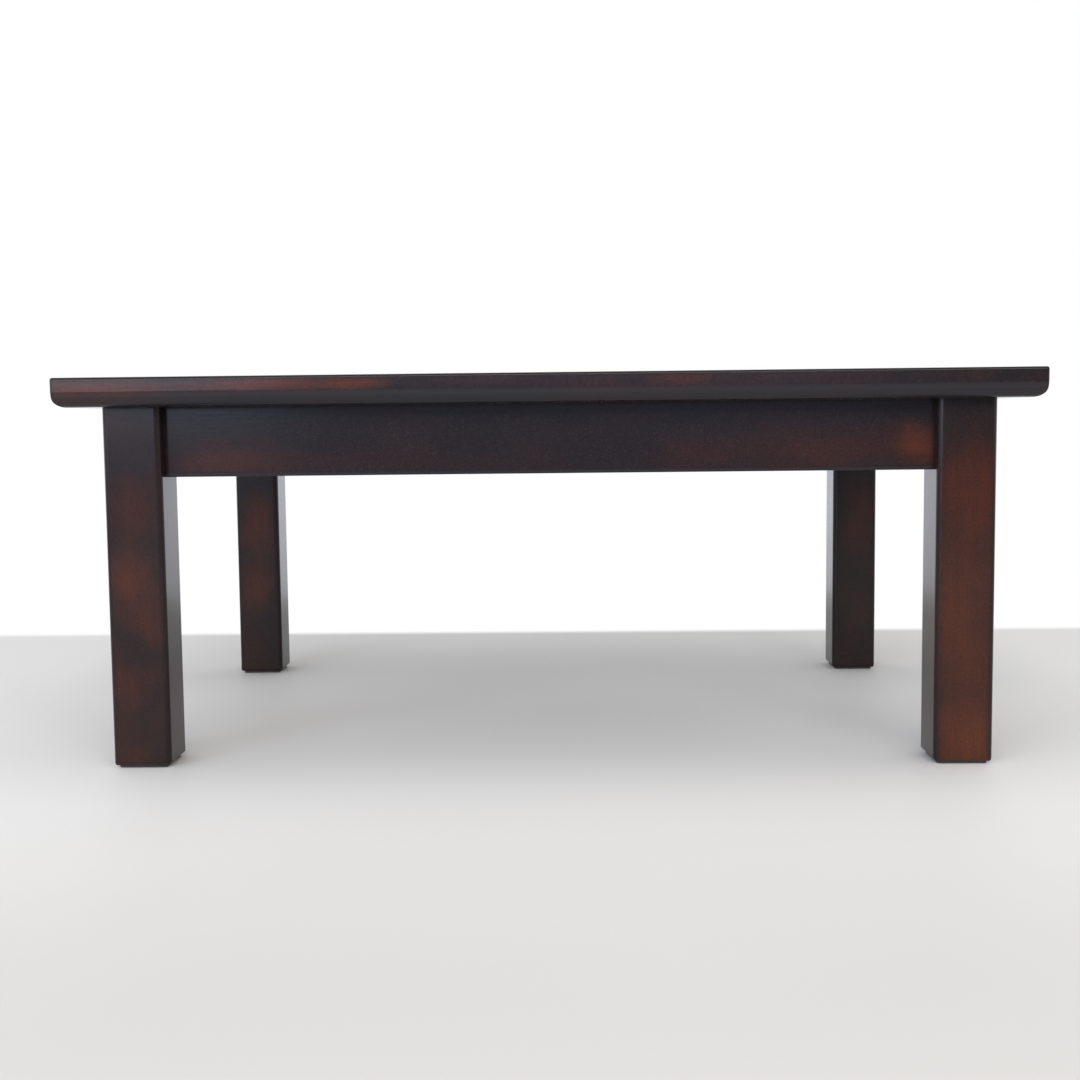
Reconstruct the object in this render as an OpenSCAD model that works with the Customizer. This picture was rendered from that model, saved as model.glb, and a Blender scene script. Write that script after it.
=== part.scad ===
// Low table in dark-stained hardwood: a thick top of edge-joined boards on a frame of
// four square legs and four aprons, mortised together and braced under the top.
// The origin is on the floor at the middle of the table, with +X along the long side,
// +Y towards the back and +Z up.

/* [Top] */
// Length of the top from left to right
top_w = 1000; // [800:5:1400]
// Depth of the top from front to back
top_d = 700; // [550:5:900]
// Thickness of the top
top_t = 30; // [26:0.5:45]
// Height of the top's upper face above the floor
table_h = 410; // [300:5:500]
// Reach of the top past the outer faces of the legs
overhang = 38.5; // [28:0.5:90]
// Radius of the rounding under the rim
under_r = 12.5; // [10:0.5:14]
// Height from the underside to the crease where the upright band starts
under_drop = 15.5; // [14:0.5:16.5]
// Lean of the straight slope between the rounding and the crease, in degrees
under_lean = 4; // [1:0.5:8]
// Rounding of the rim's upper edge
upper_r = 2.5; // [1:0.25:5]
// Rounding of the four upright corners, seen from above
corner_r = 3.5; // [1:0.5:12]

/* [Legs] */
// Width of each face of a leg
leg_w = 61; // [54:1:90]
// Rounding of a leg's four upright edges
leg_r = 6.5; // [1:0.5:12]
// Width of the chamfer round a leg's foot
leg_chamfer = 3; // [1:0.5:5]

/* [Foot pads] */
// Thickness of the felt pad under each leg
pad_t = 3; // [2:0.5:8]
// Distance from the foot's chamfer in to the pad's edge
pad_inset = 1.5; // [0:0.5:8]
// Rounding of the pad's corners
pad_r = 4; // [1:0.5:12]

/* [Aprons] */
// Height of an apron
apron_h = 73; // [68:1:110]
// Thickness of an apron
apron_t = 28; // [24:0.5:34]
// Distance from a leg's outer face back to the apron's outer face
apron_setback = 16.5; // [13:0.5:18]
// Rounding of the aprons' lower edges
apron_r = 2; // [0.5:0.5:5]

/* [Leg joints] */
// Thickness of a tenon
tenon_t = 12; // [8:0.5:16]
// Shoulder below a tenon
tenon_foot = 8; // [4:1:15]
// Height of the short haunch above a tenon
haunch_h = 18; // [8:1:25]
// Length of the haunch into the leg
haunch_l = 10; // [5:0.5:14]

/* [Edge joints in the top] */
// Thickness of the loose splines between the boards
spline_t = 6; // [4:0.5:9]
// Width of a spline, half of it in each board
spline_w = 20; // [12:1:30]
// Wood left solid between a spline and each end of the top
spline_stop = 40; // [30:1:80]

/* [Cross rail] */
// Height of the rail under the middle of the top
rail_h = 45; // [35:1:60]
// Thickness of the rail
rail_t = 28; // [22:1:40]
// Length of the dovetail that drops into each long apron
tail_l = 12; // [8:0.5:15]
// Width of the dovetail where it leaves the rail's shoulder
tail_neck = 14; // [10:0.5:16]
// Width that the dovetail gains on each side towards its end
tail_flare = 2.5; // [1:0.5:3]
// Shoulder below the dovetail
tail_foot = 10; // [5:1:15]
// Wood under the heads of the screws that hold the rail to the top
rail_grip = 20; // [12:1:28]

/* [Corner blocks] */
// Reach of a block along each apron, from the leg's face
block_arm = 45; // [34:1:70]
// Width of the flat at each end of a block
block_end = 8; // [5:0.5:15]
// Height of a block
block_h = 45; // [30:1:60]
// Wood under the heads of the screws in a block
block_grip = 16; // [10:0.5:20]

/* [Buttons that hold the top] */
// Width of a button
button_w = 28; // [20:1:40]
// Length of a button's body
button_l = 36; // [30:1:50]
// Height from a button's tongue up to the top
button_lip = 12; // [8:0.5:16]
// Thickness of the tongue
tongue_t = 10; // [6:0.5:14]
// Length of the tongue inside the apron's slot
tongue_l = 8; // [5:0.5:12]
// Distance from the table's middle to the buttons on the long aprons
button_x = 190; // [120:5:240]

/* [Screws] */
// Radius of the screws' shanks
screw_r = 2; // [1.5:0.25:3]
// Radius of the screws' heads
head_r = 3.8; // [3.5:0.1:6]
// Thickness of the screws' heads
head_t = 2.5; // [1.5:0.25:4]
// Length of screw in an apron
apron_bite = 16; // [8:0.5:18]

/* [Fits] */
// Play round a glued tenon, tail or spline
fit_gap = 0.1; // [0.05:0.05:0.4]
// Play past the end of a tenon, tail or spline
end_gap = 0.6; // [0.3:0.1:0.9]
// Play round a screw's shank
screw_gap = 0.1; // [0.05:0.05:0.4]
// Play round a screw's head in its counterbore
head_gap = 1; // [0.5:0.25:3]
// Play beside a button's tongue, so that the top can swell and shrink
slot_play = 4; // [2:0.5:10]

/* [Hidden] */
$fn = 64;
// How far a cut runs past the face that it opens
cut = 1;
// Wood left between the screws' points and the splines
point_gap = 1;

BOARDS = ["top_board_1", "top_board_2", "top_board_3", "top_board_4", "top_board_5"];
SPLINES = ["spline_1", "spline_2", "spline_3", "spline_4"];
// Name of each corner's pieces, then its side along X and along Y
CORNERS = [
    ["front_left", -1, -1],
    ["front_right", 1, -1],
    ["back_left", -1, 1],
    ["back_right", 1, 1]
];
// Name of each apron, then the turn that brings the front apron there and whether it is a long one
SIDES = [
    ["front", 0, true],
    ["back", 180, true],
    ["left", 270, false],
    ["right", 90, false]
];
// Name of each button, then its apron's place in SIDES and its side along that apron
BUTTONS = [
    ["button_front_left", 0, -1],
    ["button_front_right", 0, 1],
    ["button_back_left", 1, 1],
    ["button_back_right", 1, -1],
    ["button_left_front", 2, 1],
    ["button_left_back", 2, -1],
    ["button_right_front", 3, -1],
    ["button_right_back", 3, 1]
];

half_w = top_w / 2;
half_d = top_d / 2;
// Underside of the top, which is also the upper end of the whole frame
under_z = table_h - top_t;
// Where the rounding under the rim ends and the slope up to the crease starts, and how far in
// from the upright band that slope and the whole rounding reach
slope_foot = under_r * (1 - sin(under_lean));
slope_reach = (under_drop - slope_foot) * tan(under_lean);
under_reach = slope_reach + under_r * cos(under_lean);
board_d = top_d / len(BOARDS);

// Axes of the legs, and the shoulders of the aprons between them
leg_x = half_w - overhang - leg_w / 2;
leg_y = half_d - overhang - leg_w / 2;
shoulder_x = leg_x - leg_w / 2;
shoulder_y = leg_y - leg_w / 2;
pad_w = leg_w - 2 * (leg_chamfer + pad_inset);

// Middle plane and inner face of an apron, measured inwards from the legs' axes
apron_line = apron_setback + apron_t / 2 - leg_w / 2;
apron_in = apron_line + apron_t / 2;
apron_z = under_z - apron_h;
tenon_z = apron_z + tenon_foot;
tenon_h = apron_h - tenon_foot - haunch_h;

// Length of screw in the top, which stops below the splines
top_bite = (top_t - spline_t) / 2 - point_gap;
button_h = button_lip + tongue_t;
// Place of the screws along a corner block's arm, and the height of their axes
block_screw = leg_w / 2 + block_arm / 2;
block_screw_z = under_z - block_h / 2;

TOP_TONES = ["#38231e", "#34201c", "#3c2520", "#35211c", "#39241f"];
LEG_TONE = "#3a221d";
APRON_TONE = "#33211e";
HIDDEN_WOOD_TONE = "#a98259";
SPLINE_TONE = "#c9a878";
PAD_TONE = "#1d1b1b";
SCREW_TONE = "#b4a468";

// Runs a flat section along X, centred, with the section's width across Y
module along_x(length) {
    translate([-length / 2, 0, 0])
        rotate([90, 0, 90])
            linear_extrude(length) children();
}

// Runs a flat section along Y, centred, with the section's width across X
module along_y(length) {
    rotate(90)
        along_x(length) children();
}

// Square with rounded corners, centred
module rounded_square(width, radius) {
    union() {
        square([width, width - 2 * radius], center = true);
        square([width - 2 * radius, width], center = true);
        for (x = [-1, 1], y = [-1, 1])
            translate([x, y] * (width / 2 - radius)) circle(radius);
    }
}

// What is cut from a square corner at the origin to round it; the solid lies towards -x and -y
module corner_waste(radius) {
    difference() {
        translate([-radius, -radius]) square(radius + cut);
        translate([-radius, -radius]) circle(radius);
    }
}

// Places a piece at one corner of the frame, on the leg's axis, turned so that +X and +Y
// point to the table's middle there
module at_corner(corner) {
    translate([corner[1] * leg_x, corner[2] * leg_y, 0])
        mirror([corner[1] > 0 ? 1 : 0, 0, 0])
            mirror([0, corner[2] > 0 ? 1 : 0, 0])
                children();
}

// Places a piece on one side of the frame, on the middle plane of that side's apron, with
// +X along the apron and +Y towards the table's middle
module at_side(side) {
    rotate(side[1])
        translate([0, apron_line - (side[2] ? leg_y : leg_x), 0]) children();
}

// Screw with a pan head and a cross recess: it points up, and its head bears on z = 0
module wood_screw(length) {
    point_l = 2 * screw_r;
    point_r = screw_r / 8;
    recess_w = head_r;
    recess_slot = head_r / 4;
    difference() {
        union() {
            translate([0, 0, -head_t]) cylinder(h = head_t, r = head_r);
            cylinder(h = length - point_l, r = screw_r);
            translate([0, 0, length - point_l])
                cylinder(h = point_l, r1 = screw_r, r2 = point_r);
        }
        for (turn = [0, 90])
            rotate(turn)
                translate([0, 0, -head_t])
                    cube([recess_w, recess_slot, head_t], center = true);
    }
}

// Hole for a screw's shank, from z = 0 upwards
module screw_hole(length) {
    translate([0, 0, -cut]) cylinder(h = length + cut + screw_gap, r = screw_r + screw_gap);
}

// Sinks a screw's head: a wide bore that ends at z = 0 and opens downwards
module head_bore(depth) {
    translate([0, 0, -depth]) cylinder(h = depth, r = head_r + head_gap);
}

// Places of the screws that come up into the top: at a button, and along the cross rail
module at_button_screw(button) {
    at_side(SIDES[button[1]])
        translate([button_place(button), apron_t / 2 + fit_gap + button_l / 2, under_z])
            children();
}

module at_rail_screws() {
    for (row = [-1, 0, 1])
        translate([0, row * board_d, under_z]) children();
}

// Distance of a button from the middle of its apron
function button_place(button) =
    button[2] * (SIDES[button[1]][2] ? button_x : board_d);

// Section of the top across a full width, from its underside up: a rounding, a short slope,
// a crease, an upright band and a small rounding above
module top_section(width) {
    difference() {
        translate([-width / 2, 0]) square([width, top_t]);
        for (side = [0, 1])
            mirror([side, 0]) {
                translate([width / 2, 0])
                    difference() {
                        polygon([
                            [cut, -cut],
                            [cut, under_drop],
                            [0, under_drop],
                            [-slope_reach, slope_foot],
                            [-under_reach, slope_foot],
                            [-under_reach, -cut]
                        ]);
                        translate([-under_reach, under_r]) circle(under_r);
                    }
                translate([width / 2, top_t]) corner_waste(upper_r);
            }
    }
}

// The whole top before it is split into boards
module top_blank() {
    translate([0, 0, under_z])
        difference() {
            intersection() {
                along_x(top_w + 2 * cut) top_section(top_d);
                along_y(top_d + 2 * cut) top_section(top_w);
            }
            for (x = [0, 1], y = [0, 1])
                mirror([x, 0, 0])
                    mirror([0, y, 0])
                        translate([half_w, half_d, -cut])
                            linear_extrude(top_t + 2 * cut) corner_waste(corner_r);
        }
}

// Loose spline in the joint behind the board of this number, or its groove with some play
module spline_bar(number, play = 0, end_play = 0) {
    translate([0, number * board_d - half_d, under_z + top_t / 2])
        cube([
            top_w - 2 * spline_stop + 2 * end_play,
            spline_w + 2 * end_play,
            spline_t + 2 * play
        ], center = true);
}

module top_board(number) {
    color(TOP_TONES[number - 1])
        difference() {
            intersection() {
                top_blank();
                translate([-half_w - cut, (number - 1) * board_d - half_d, under_z - cut])
                    cube([top_w + 2 * cut, board_d, top_t + 2 * cut]);
            }
            for (joint = [number - 1, number])
                if (joint > 0 && joint < len(BOARDS)) spline_bar(joint, fit_gap, end_gap);
            for (button = BUTTONS)
                at_button_screw(button) screw_hole(top_bite);
            at_rail_screws() screw_hole(top_bite);
        }
}

module spline(number) {
    color(SPLINE_TONE) spline_bar(number);
}

// One tenon or its mortise in the corner's frame, for the apron that runs along X: a tongue
// mitred against its neighbour, with a short haunch above it. Its root runs into the apron.
module tenon(play = 0, end_play = 0) {
    near = apron_line - tenon_t / 2 - play;
    far = apron_line + tenon_t / 2 + play;
    open = leg_w / 2 + cut;
    tip = end_gap - end_play;
    haunch_end = leg_w / 2 - haunch_l - end_play;
    translate([0, 0, tenon_z - play])
        linear_extrude(tenon_h + 2 * play)
            polygon([[open, near], [open, far], [far + tip, far], [near + tip, near]]);
    translate([0, 0, tenon_z])
        linear_extrude(under_z - tenon_z + (play > 0 ? cut : 0))
            polygon([[open, near], [open, far], [haunch_end, far], [haunch_end, near]]);
}

// The corner's other tenon, for the apron that runs along Y
module tenon_y(play = 0, end_play = 0) {
    mirror([1, -1, 0]) tenon(play, end_play);
}

// Chamfer waste along the foot's edge at +X
module foot_waste() {
    translate([leg_w / 2, 0, pad_t])
        rotate([90, 0, 0])
            linear_extrude(leg_w + 2 * cut, center = true)
                polygon([
                    [-leg_chamfer - cut, -cut],
                    [cut, leg_chamfer + cut],
                    [cut, -cut]
                ]);
}

module leg(corner) {
    color(LEG_TONE)
        at_corner(corner)
            difference() {
                translate([0, 0, pad_t])
                    linear_extrude(under_z - pad_t) rounded_square(leg_w, leg_r);
                for (turn = [0, 90, 180, 270])
                    rotate(turn) foot_waste();
                tenon(fit_gap, 2 * end_gap);
                tenon_y(fit_gap, 2 * end_gap);
            }
}

module foot_pad(corner) {
    color(PAD_TONE)
        at_corner(corner)
            linear_extrude(pad_t) rounded_square(pad_w, pad_r);
}

// Section of an apron, from its lower edge up, with both lower edges rounded
module apron_section() {
    difference() {
        translate([-apron_t / 2, 0]) square([apron_t, apron_h]);
        for (side = [0, 1])
            mirror([side, 0])
                translate([apron_t / 2, 0])
                    mirror([0, 1]) corner_waste(apron_r);
    }
}

// Slot in an apron's inner face for a button's tongue
module tongue_slot() {
    translate([
        -button_w / 2 - slot_play,
        apron_t / 2 - tongue_l - end_gap,
        under_z - button_h - fit_gap
    ])
        cube([button_w + 2 * slot_play, tongue_l + end_gap + cut, tongue_t + fit_gap]);
}

// Dovetail of the cross rail in plan, from the rail's shoulder outwards along -Y
module tail_plan(play = 0, open = 0) {
    neck = tail_neck / 2 + play;
    flare = tail_flare * (tail_l + play) / tail_l;
    polygon([
        [-neck, open],
        [neck, open],
        [neck, 0],
        [neck + flare, -tail_l - play],
        [-neck - flare, -tail_l - play],
        [-neck, 0]
    ]);
}

module apron(side) {
    run = side[2] ? shoulder_x : shoulder_y;
    color(APRON_TONE)
        at_side(side)
            difference() {
                union() {
                    translate([0, 0, apron_z]) along_x(2 * run) apron_section();
                    for (end = [0, 1])
                        mirror([end, 0, 0])
                            translate([-run - leg_w / 2, -apron_line, 0]) tenon();
                }
                for (place = [-1, 1])
                    translate([place * (side[2] ? button_x : board_d), 0, 0]) tongue_slot();
                for (place = [-1, 1])
                    translate([
                        place * (run + leg_w / 2 - block_screw),
                        apron_t / 2,
                        block_screw_z
                    ])
                        rotate([90, 0, 0]) screw_hole(apron_bite);
                if (side[2])
                    translate([0, apron_t / 2, under_z - rail_h + tail_foot - fit_gap])
                        linear_extrude(rail_h) tail_plan(fit_gap, cut);
            }
}

// Rail from front to back under the middle of the top, dropped into the long aprons
module cross_rail() {
    reach = leg_y - apron_in;
    color(APRON_TONE)
        difference() {
            union() {
                translate([0, 0, under_z - rail_h / 2])
                    cube([rail_t, 2 * reach, rail_h], center = true);
                for (end = [0, 1])
                    mirror([0, end, 0])
                        translate([0, -reach, under_z - rail_h + tail_foot])
                            linear_extrude(rail_h - tail_foot) tail_plan(0, cut);
            }
            at_rail_screws()
                translate([0, 0, -rail_grip]) {
                    screw_hole(rail_grip + cut);
                    head_bore(rail_h - rail_grip + cut);
                }
        }
}

// Places the two screws of a corner block, pointing into the aprons from under their heads
module at_block_screws() {
    for (other = [0, 1])
        mirror([other, -other, 0])
            translate([block_screw, apron_in + block_grip, block_screw_z])
                rotate([90, 0, 0]) children();
}

// Glued and screwed block in the angle between two aprons, notched round the leg
module corner_block(corner) {
    face = leg_w / 2;
    tip = face + block_arm;
    color(HIDDEN_WOOD_TONE)
        at_corner(corner)
            difference() {
                translate([0, 0, under_z - block_h])
                    linear_extrude(block_h)
                        polygon([
                            [face, face],
                            [face, apron_in],
                            [tip, apron_in],
                            [tip, apron_in + block_end],
                            [apron_in + block_end, tip],
                            [apron_in, tip],
                            [apron_in, face]
                        ]);
                at_block_screws() {
                    screw_hole(block_grip + cut);
                    head_bore(block_arm);
                }
            }
}

// Wooden button: its body is screwed up to the top and its tongue hooks into the apron
module button(piece) {
    color(HIDDEN_WOOD_TONE)
        difference() {
            at_side(SIDES[piece[1]])
                translate([button_place(piece) - button_w / 2, apron_t / 2, under_z - button_h])
                    union() {
                        translate([0, fit_gap, 0]) cube([button_w, button_l, button_h]);
                        translate([0, -tongue_l, 0])
                            cube([button_w, tongue_l + fit_gap + cut, tongue_t]);
                    }
            at_button_screw(piece)
                translate([0, 0, -button_h]) screw_hole(button_h + cut);
        }
}

module button_screws() {
    color(SCREW_TONE)
        for (piece = BUTTONS)
            at_button_screw(piece)
                translate([0, 0, -button_h]) wood_screw(button_h + top_bite);
}

module block_screws() {
    color(SCREW_TONE)
        for (corner = CORNERS)
            at_corner(corner)
                at_block_screws() wood_screw(block_grip + apron_bite);
}

module rail_screws() {
    color(SCREW_TONE)
        at_rail_screws()
            translate([0, 0, -rail_grip]) wood_screw(rail_grip + top_bite);
}

for (i = [0 : len(BOARDS) - 1])
    top_board(i + 1);
for (i = [0 : len(SPLINES) - 1])
    spline(i + 1);
for (c = CORNERS) {
    leg(c);
    foot_pad(c);
    corner_block(c);
}
for (s = SIDES)
    apron(s);
cross_rail();
for (b = BUTTONS)
    button(b);
button_screws();
block_screws();
rail_screws();
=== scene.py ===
"""Looks of a low table in dark-stained hardwood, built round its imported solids.

Every mesh is in metres in the solids' own frame: the origin is on the floor at the middle
of the table, with +X along the long side, +Y to the back and +Z up.
"""
import logging
import math
from dataclasses import dataclass
from enum import Enum
from typing import Any, Iterable, Sequence

import bmesh
import bpy
from mathutils import Matrix, Vector


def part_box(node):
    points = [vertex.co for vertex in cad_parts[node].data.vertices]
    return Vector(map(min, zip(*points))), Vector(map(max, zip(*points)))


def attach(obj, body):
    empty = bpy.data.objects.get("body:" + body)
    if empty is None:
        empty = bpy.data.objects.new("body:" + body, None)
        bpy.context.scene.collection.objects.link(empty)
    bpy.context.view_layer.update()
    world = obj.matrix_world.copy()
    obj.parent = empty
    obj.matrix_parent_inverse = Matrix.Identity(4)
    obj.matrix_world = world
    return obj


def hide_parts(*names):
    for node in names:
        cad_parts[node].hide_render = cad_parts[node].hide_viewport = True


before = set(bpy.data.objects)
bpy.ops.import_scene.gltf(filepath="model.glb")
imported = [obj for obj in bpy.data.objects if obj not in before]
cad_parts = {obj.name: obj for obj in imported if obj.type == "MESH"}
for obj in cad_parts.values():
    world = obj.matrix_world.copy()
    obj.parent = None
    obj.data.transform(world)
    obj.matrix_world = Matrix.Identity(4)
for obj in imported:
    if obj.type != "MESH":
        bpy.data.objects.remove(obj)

LOG = logging.getLogger("low_table")
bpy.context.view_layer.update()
BODY = "root"
MM = 0.001
# Values that the meshes carry: a piece's wood seed, a screw's aim and a fibre's paleness
SEED = "piece_seed"
AIM = "aim"
TONE = "fibre_tone"
# Edges that turn more than this between two faces stay crisp
SHARP_TURN = math.radians(32)
# Points nearer than this are one, in general and on a planed post
MERGE = 1e-6
POST_MERGE = 2e-5
# An edge nearer to a height than this lies on it
ON_HEIGHT = 10 * MERGE
# How far a cutter runs past the face that it opens
CUT = 1 * MM
# Steps round the corner of a rounded outline
CORNER_STEPS = 6
# Flats round a screw's blind hole, and round the rail's bores for the heads
HOLE_SIDES = 16
BORE_SIDES = 32
# Kind of socket for a starting value
SOCKETS = {float: "Float", int: "Int", tuple: "Vector"}

Point = tuple[float, float, float]
Flat = tuple[float, float]
Thing = bpy.types.Object
Material = bpy.types.Material
Node = bpy.types.Node
Socket = bpy.types.NodeSocket
Group = bpy.types.NodeTree


class Grain(Enum):
    """The way that a piece's wood grain runs, with the turn that brings it onto Z."""

    ALONG_X = (0.0, math.pi / 2, 0.0)
    ALONG_Y = (math.pi / 2, 0.0, 0.0)
    ALONG_Z = (0.0, 0.0, 0.0)


class Slot(Enum):
    """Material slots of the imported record."""

    TOP = "top_wood"
    LEG = "leg_wood"
    APRON = "apron_wood"
    BLOCK = "block_wood"
    PAD = "pad_felt"
    SCREW = "screw_steel"


class Cut(Enum):
    """What a second solid does to a piece."""

    AWAY = "DIFFERENCE"
    ADDED = "UNION"


class Kind(Enum):
    """What a node group makes, with its type of tree and the socket that it puts out."""

    LOOKS = ("ShaderNodeTree", "Float")
    SHAPE = ("GeometryNodeTree", "Geometry")


@dataclass(frozen=True)
class Corner:
    """One corner of the frame.

    Attributes:
        name: The corner's part of its pieces' names.
        x: Side along X, -1 or 1.
        y: Side along Y, -1 or 1.
    """

    name: str
    x: int
    y: int


@dataclass(frozen=True)
class Side:
    """One side of the frame.

    Attributes:
        name: The apron's part of its name.
        turn: Quarter turns that bring the front apron there.
        long: Whether it is a long side.
    """

    name: str
    turn: int
    long: bool

    def matrix(self, plan: "Plan") -> Matrix:
        """Returns the turn and shift from an apron's own frame to the table's."""
        out = plan.leg_y if self.long else plan.leg_x
        return Matrix.Rotation(self.turn * math.pi / 2, 4, "Z") @ Matrix.Translation((0, -out, 0))


CORNERS = (Corner("front_left", -1, -1), Corner("front_right", 1, -1),
           Corner("back_left", -1, 1), Corner("back_right", 1, 1))
SIDES = (Side("front", 0, True), Side("back", 2, True), Side("left", 3, False), Side("right", 1, False))


@dataclass(frozen=True)
class Plan:
    """Sizes that the sub-assemblies share, in metres.

    Attributes:
        top_w: Length of the top, along X.
        top_d: Depth of the top, along Y.
        top_t: Thickness of the top.
        table_h: Height of the table.
        overhang: How far the top stands out past the legs.
        boards: How many boards the top has.
        leg_w: Width of a leg.
        pad_t: Thickness of a foot pad.
        apron_h: Height of an apron.
        apron_t: Thickness of an apron.
        tenon_t: Thickness of a tenon.
        tenon_foot: Height of a tenon's foot above the apron's lower edge.
        haunch_h: Height of a tenon's haunch.
        haunch_l: How deep the haunch goes into the leg.
        rail_h: Height of the cross rail.
        tail_l: Length of the rail's dovetails.
        tail_neck: Width of a dovetail at the rail.
        tail_flare: How much it gains on each side up to its end.
        tail_foot: Height of its foot above the rail's lower face.
        button_w: Width of a button.
        button_l: Length of a button without its tongue.
        button_h: Height of a button.
        tongue_t: Thickness of a button's tongue.
        tongue_l: How deep the tongue goes into the apron.
        button_x: Distance of the long aprons' buttons from the middle.
        block_arm: Length of a corner block's arms from the leg's face.
        block_h: Height of a corner block.
        block_grip: Wood of a block under a screw's head.
        rail_grip: The same for the rail.
        apron_bite: How deep a screw goes into an apron.
        top_bite: How deep a screw goes into the top.
        screw_r: Radius of a screw's thread.
        head_r: Radius of its head.
        head_t: Height of its head.
        bore_r: Radius of the bore for the head.
        play: Gap between pieces that fit into each other.
        end_play: The same at their ends.
    """

    top_w: float = 1000 * MM
    top_d: float = 700 * MM
    top_t: float = 30 * MM
    table_h: float = 410 * MM
    overhang: float = 38.5 * MM
    boards: int = 5
    leg_w: float = 61 * MM
    pad_t: float = 3 * MM
    apron_h: float = 73 * MM
    apron_t: float = 28 * MM
    tenon_t: float = 12 * MM
    tenon_foot: float = 8 * MM
    haunch_h: float = 18 * MM
    haunch_l: float = 10 * MM
    rail_h: float = 45 * MM
    tail_l: float = 12 * MM
    tail_neck: float = 14 * MM
    tail_flare: float = 2.5 * MM
    tail_foot: float = 10 * MM
    button_w: float = 28 * MM
    button_l: float = 36 * MM
    button_h: float = 22 * MM
    tongue_t: float = 10 * MM
    tongue_l: float = 8 * MM
    button_x: float = 190 * MM
    block_arm: float = 45 * MM
    block_h: float = 45 * MM
    block_grip: float = 16 * MM
    rail_grip: float = 20 * MM
    apron_bite: float = 16 * MM
    top_bite: float = 11 * MM
    screw_r: float = 2 * MM
    head_r: float = 3.8 * MM
    head_t: float = 2.5 * MM
    bore_r: float = 4.8 * MM
    play: float = 0.1 * MM
    end_play: float = 0.6 * MM

    @property
    def under_z(self) -> float:
        """Height of the top's underside."""
        return self.table_h - self.top_t

    @property
    def board_d(self) -> float:
        """Width of one board of the top."""
        return self.top_d / self.boards

    @property
    def leg_x(self) -> float:
        """Distance of the legs' axes from the middle, along X."""
        return self.top_w / 2 - self.overhang - self.leg_w / 2

    @property
    def leg_y(self) -> float:
        """Distance of the legs' axes from the middle, along Y."""
        return self.top_d / 2 - self.overhang - self.leg_w / 2

    @property
    def block_screw(self) -> float:
        """Distance of a corner block's screws from the leg's axis."""
        return self.leg_w / 2 + self.block_arm / 2

    def run(self, side: Side) -> float:
        """Returns half the length of an apron between its shoulders."""
        return (self.leg_x if side.long else self.leg_y) - self.leg_w / 2

    def button_places(self, side: Side) -> tuple[float, float]:
        """Returns the places of the two buttons along an apron."""
        place = self.button_x if side.long else self.board_d
        return (-place, place)

    def buttons(self) -> list[tuple[Side, float]]:
        """Returns the side of each button and its place along the apron."""
        return [(side, x) for side in SIDES for x in self.button_places(side)]

    def rail_screws(self) -> list[float]:
        """Returns the places of the cross rail's screws along Y."""
        return [row * self.board_d for row in (-1, 0, 1)]

    def leg_place(self, corner: Corner) -> tuple[float, float]:
        """Returns the place of a leg's axis."""
        return corner.x * self.leg_x, corner.y * self.leg_y


# Meshes


@dataclass
class Mesh:
    """Points and faces of a solid on their way to becoming a piece.

    Attributes:
        points: Its points, in metres.
        faces: Its faces, each as the numbers of its points in order.
    """

    points: list[Point]
    faces: list[Sequence[int]]

    def moved(self, matrix: Matrix) -> "Mesh":
        """Returns a copy that the matrix has moved."""
        return Mesh([tuple(matrix @ Vector(p)) for p in self.points], list(self.faces))

    def piece(self, name: str) -> Thing:
        """Makes a new object with this mesh, its doubles merged and its faces outward.

        Args:
            name: The object's name.

        Returns:
            The object, which is in the scene.
        """
        data = bpy.data.meshes.new(name)
        data.from_pydata(self.points, [], self.faces)
        work = bmesh.new()
        work.from_mesh(data)
        tidy_faces(work)
        work.to_mesh(data)
        work.free()
        return new_object(name, data)


def new_object(name: str, data: bpy.types.ID) -> Thing:
    """Puts a new object in the scene.

    Args:
        name: Its name.
        data: Its mesh, curve, lamp or camera.

    Returns:
        The object.
    """
    thing = bpy.data.objects.new(name, data)
    bpy.context.scene.collection.objects.link(thing)
    return thing


def tidy_faces(work: bmesh.types.BMesh) -> None:
    """Merges doubles, drops what they leave flat and points the faces outwards.

    Args:
        work: The open mesh.
    """
    bmesh.ops.remove_doubles(work, verts=work.verts, dist=MERGE)
    bmesh.ops.dissolve_degenerate(work, edges=work.edges, dist=MERGE)
    bmesh.ops.recalc_face_normals(work, faces=work.faces)


def loft(rings: Sequence[Sequence[Point]]) -> Mesh:
    """Joins rings of equal counts with four-sided faces and closes both ends.

    Args:
        rings: Closed rings of points in order.

    Returns:
        The closed mesh.
    """
    count = len(rings[0])
    faces: list[Sequence[int]] = []
    for row in range(len(rings) - 1):
        for i in range(count):
            j = (i + 1) % count
            low, high = row * count, (row + 1) * count
            faces.append((low + i, low + j, high + j, high + i))
    last = (len(rings) - 1) * count
    faces += [tuple(reversed(range(count))), tuple(range(last, last + count))]
    return Mesh([p for ring in rings for p in ring], faces)


def prism(outline: Sequence[Flat], low: float, high: float) -> Mesh:
    """Returns a flat outline raised from one height to another."""
    return loft([[(x, y, z) for x, y in outline] for z in (low, high)])


def block(low: Point, high: Point) -> Mesh:
    """Returns a plain box between two corners."""
    outline = [(low[0], low[1]), (high[0], low[1]), (high[0], high[1]), (low[0], high[1])]
    return prism(outline, low[2], high[2])


def rod(radius: float, start: Point, end: Point, sides: int = 24) -> Mesh:
    """Makes a round bar from one point to another.

    Args:
        radius: Its radius.
        start: Middle of its first end.
        end: Middle of its last end.
        sides: How many flats go round it.

    Returns:
        The closed mesh.
    """
    way = Vector(end) - Vector(start)
    turn = way.to_track_quat("Z", "Y").to_matrix().to_4x4()
    ring = [(radius * math.cos(a), radius * math.sin(a)) for a in angles(0, 2 * math.pi, sides)[:-1]]
    return prism(ring, 0, way.length).moved(Matrix.Translation(start) @ turn)


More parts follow.
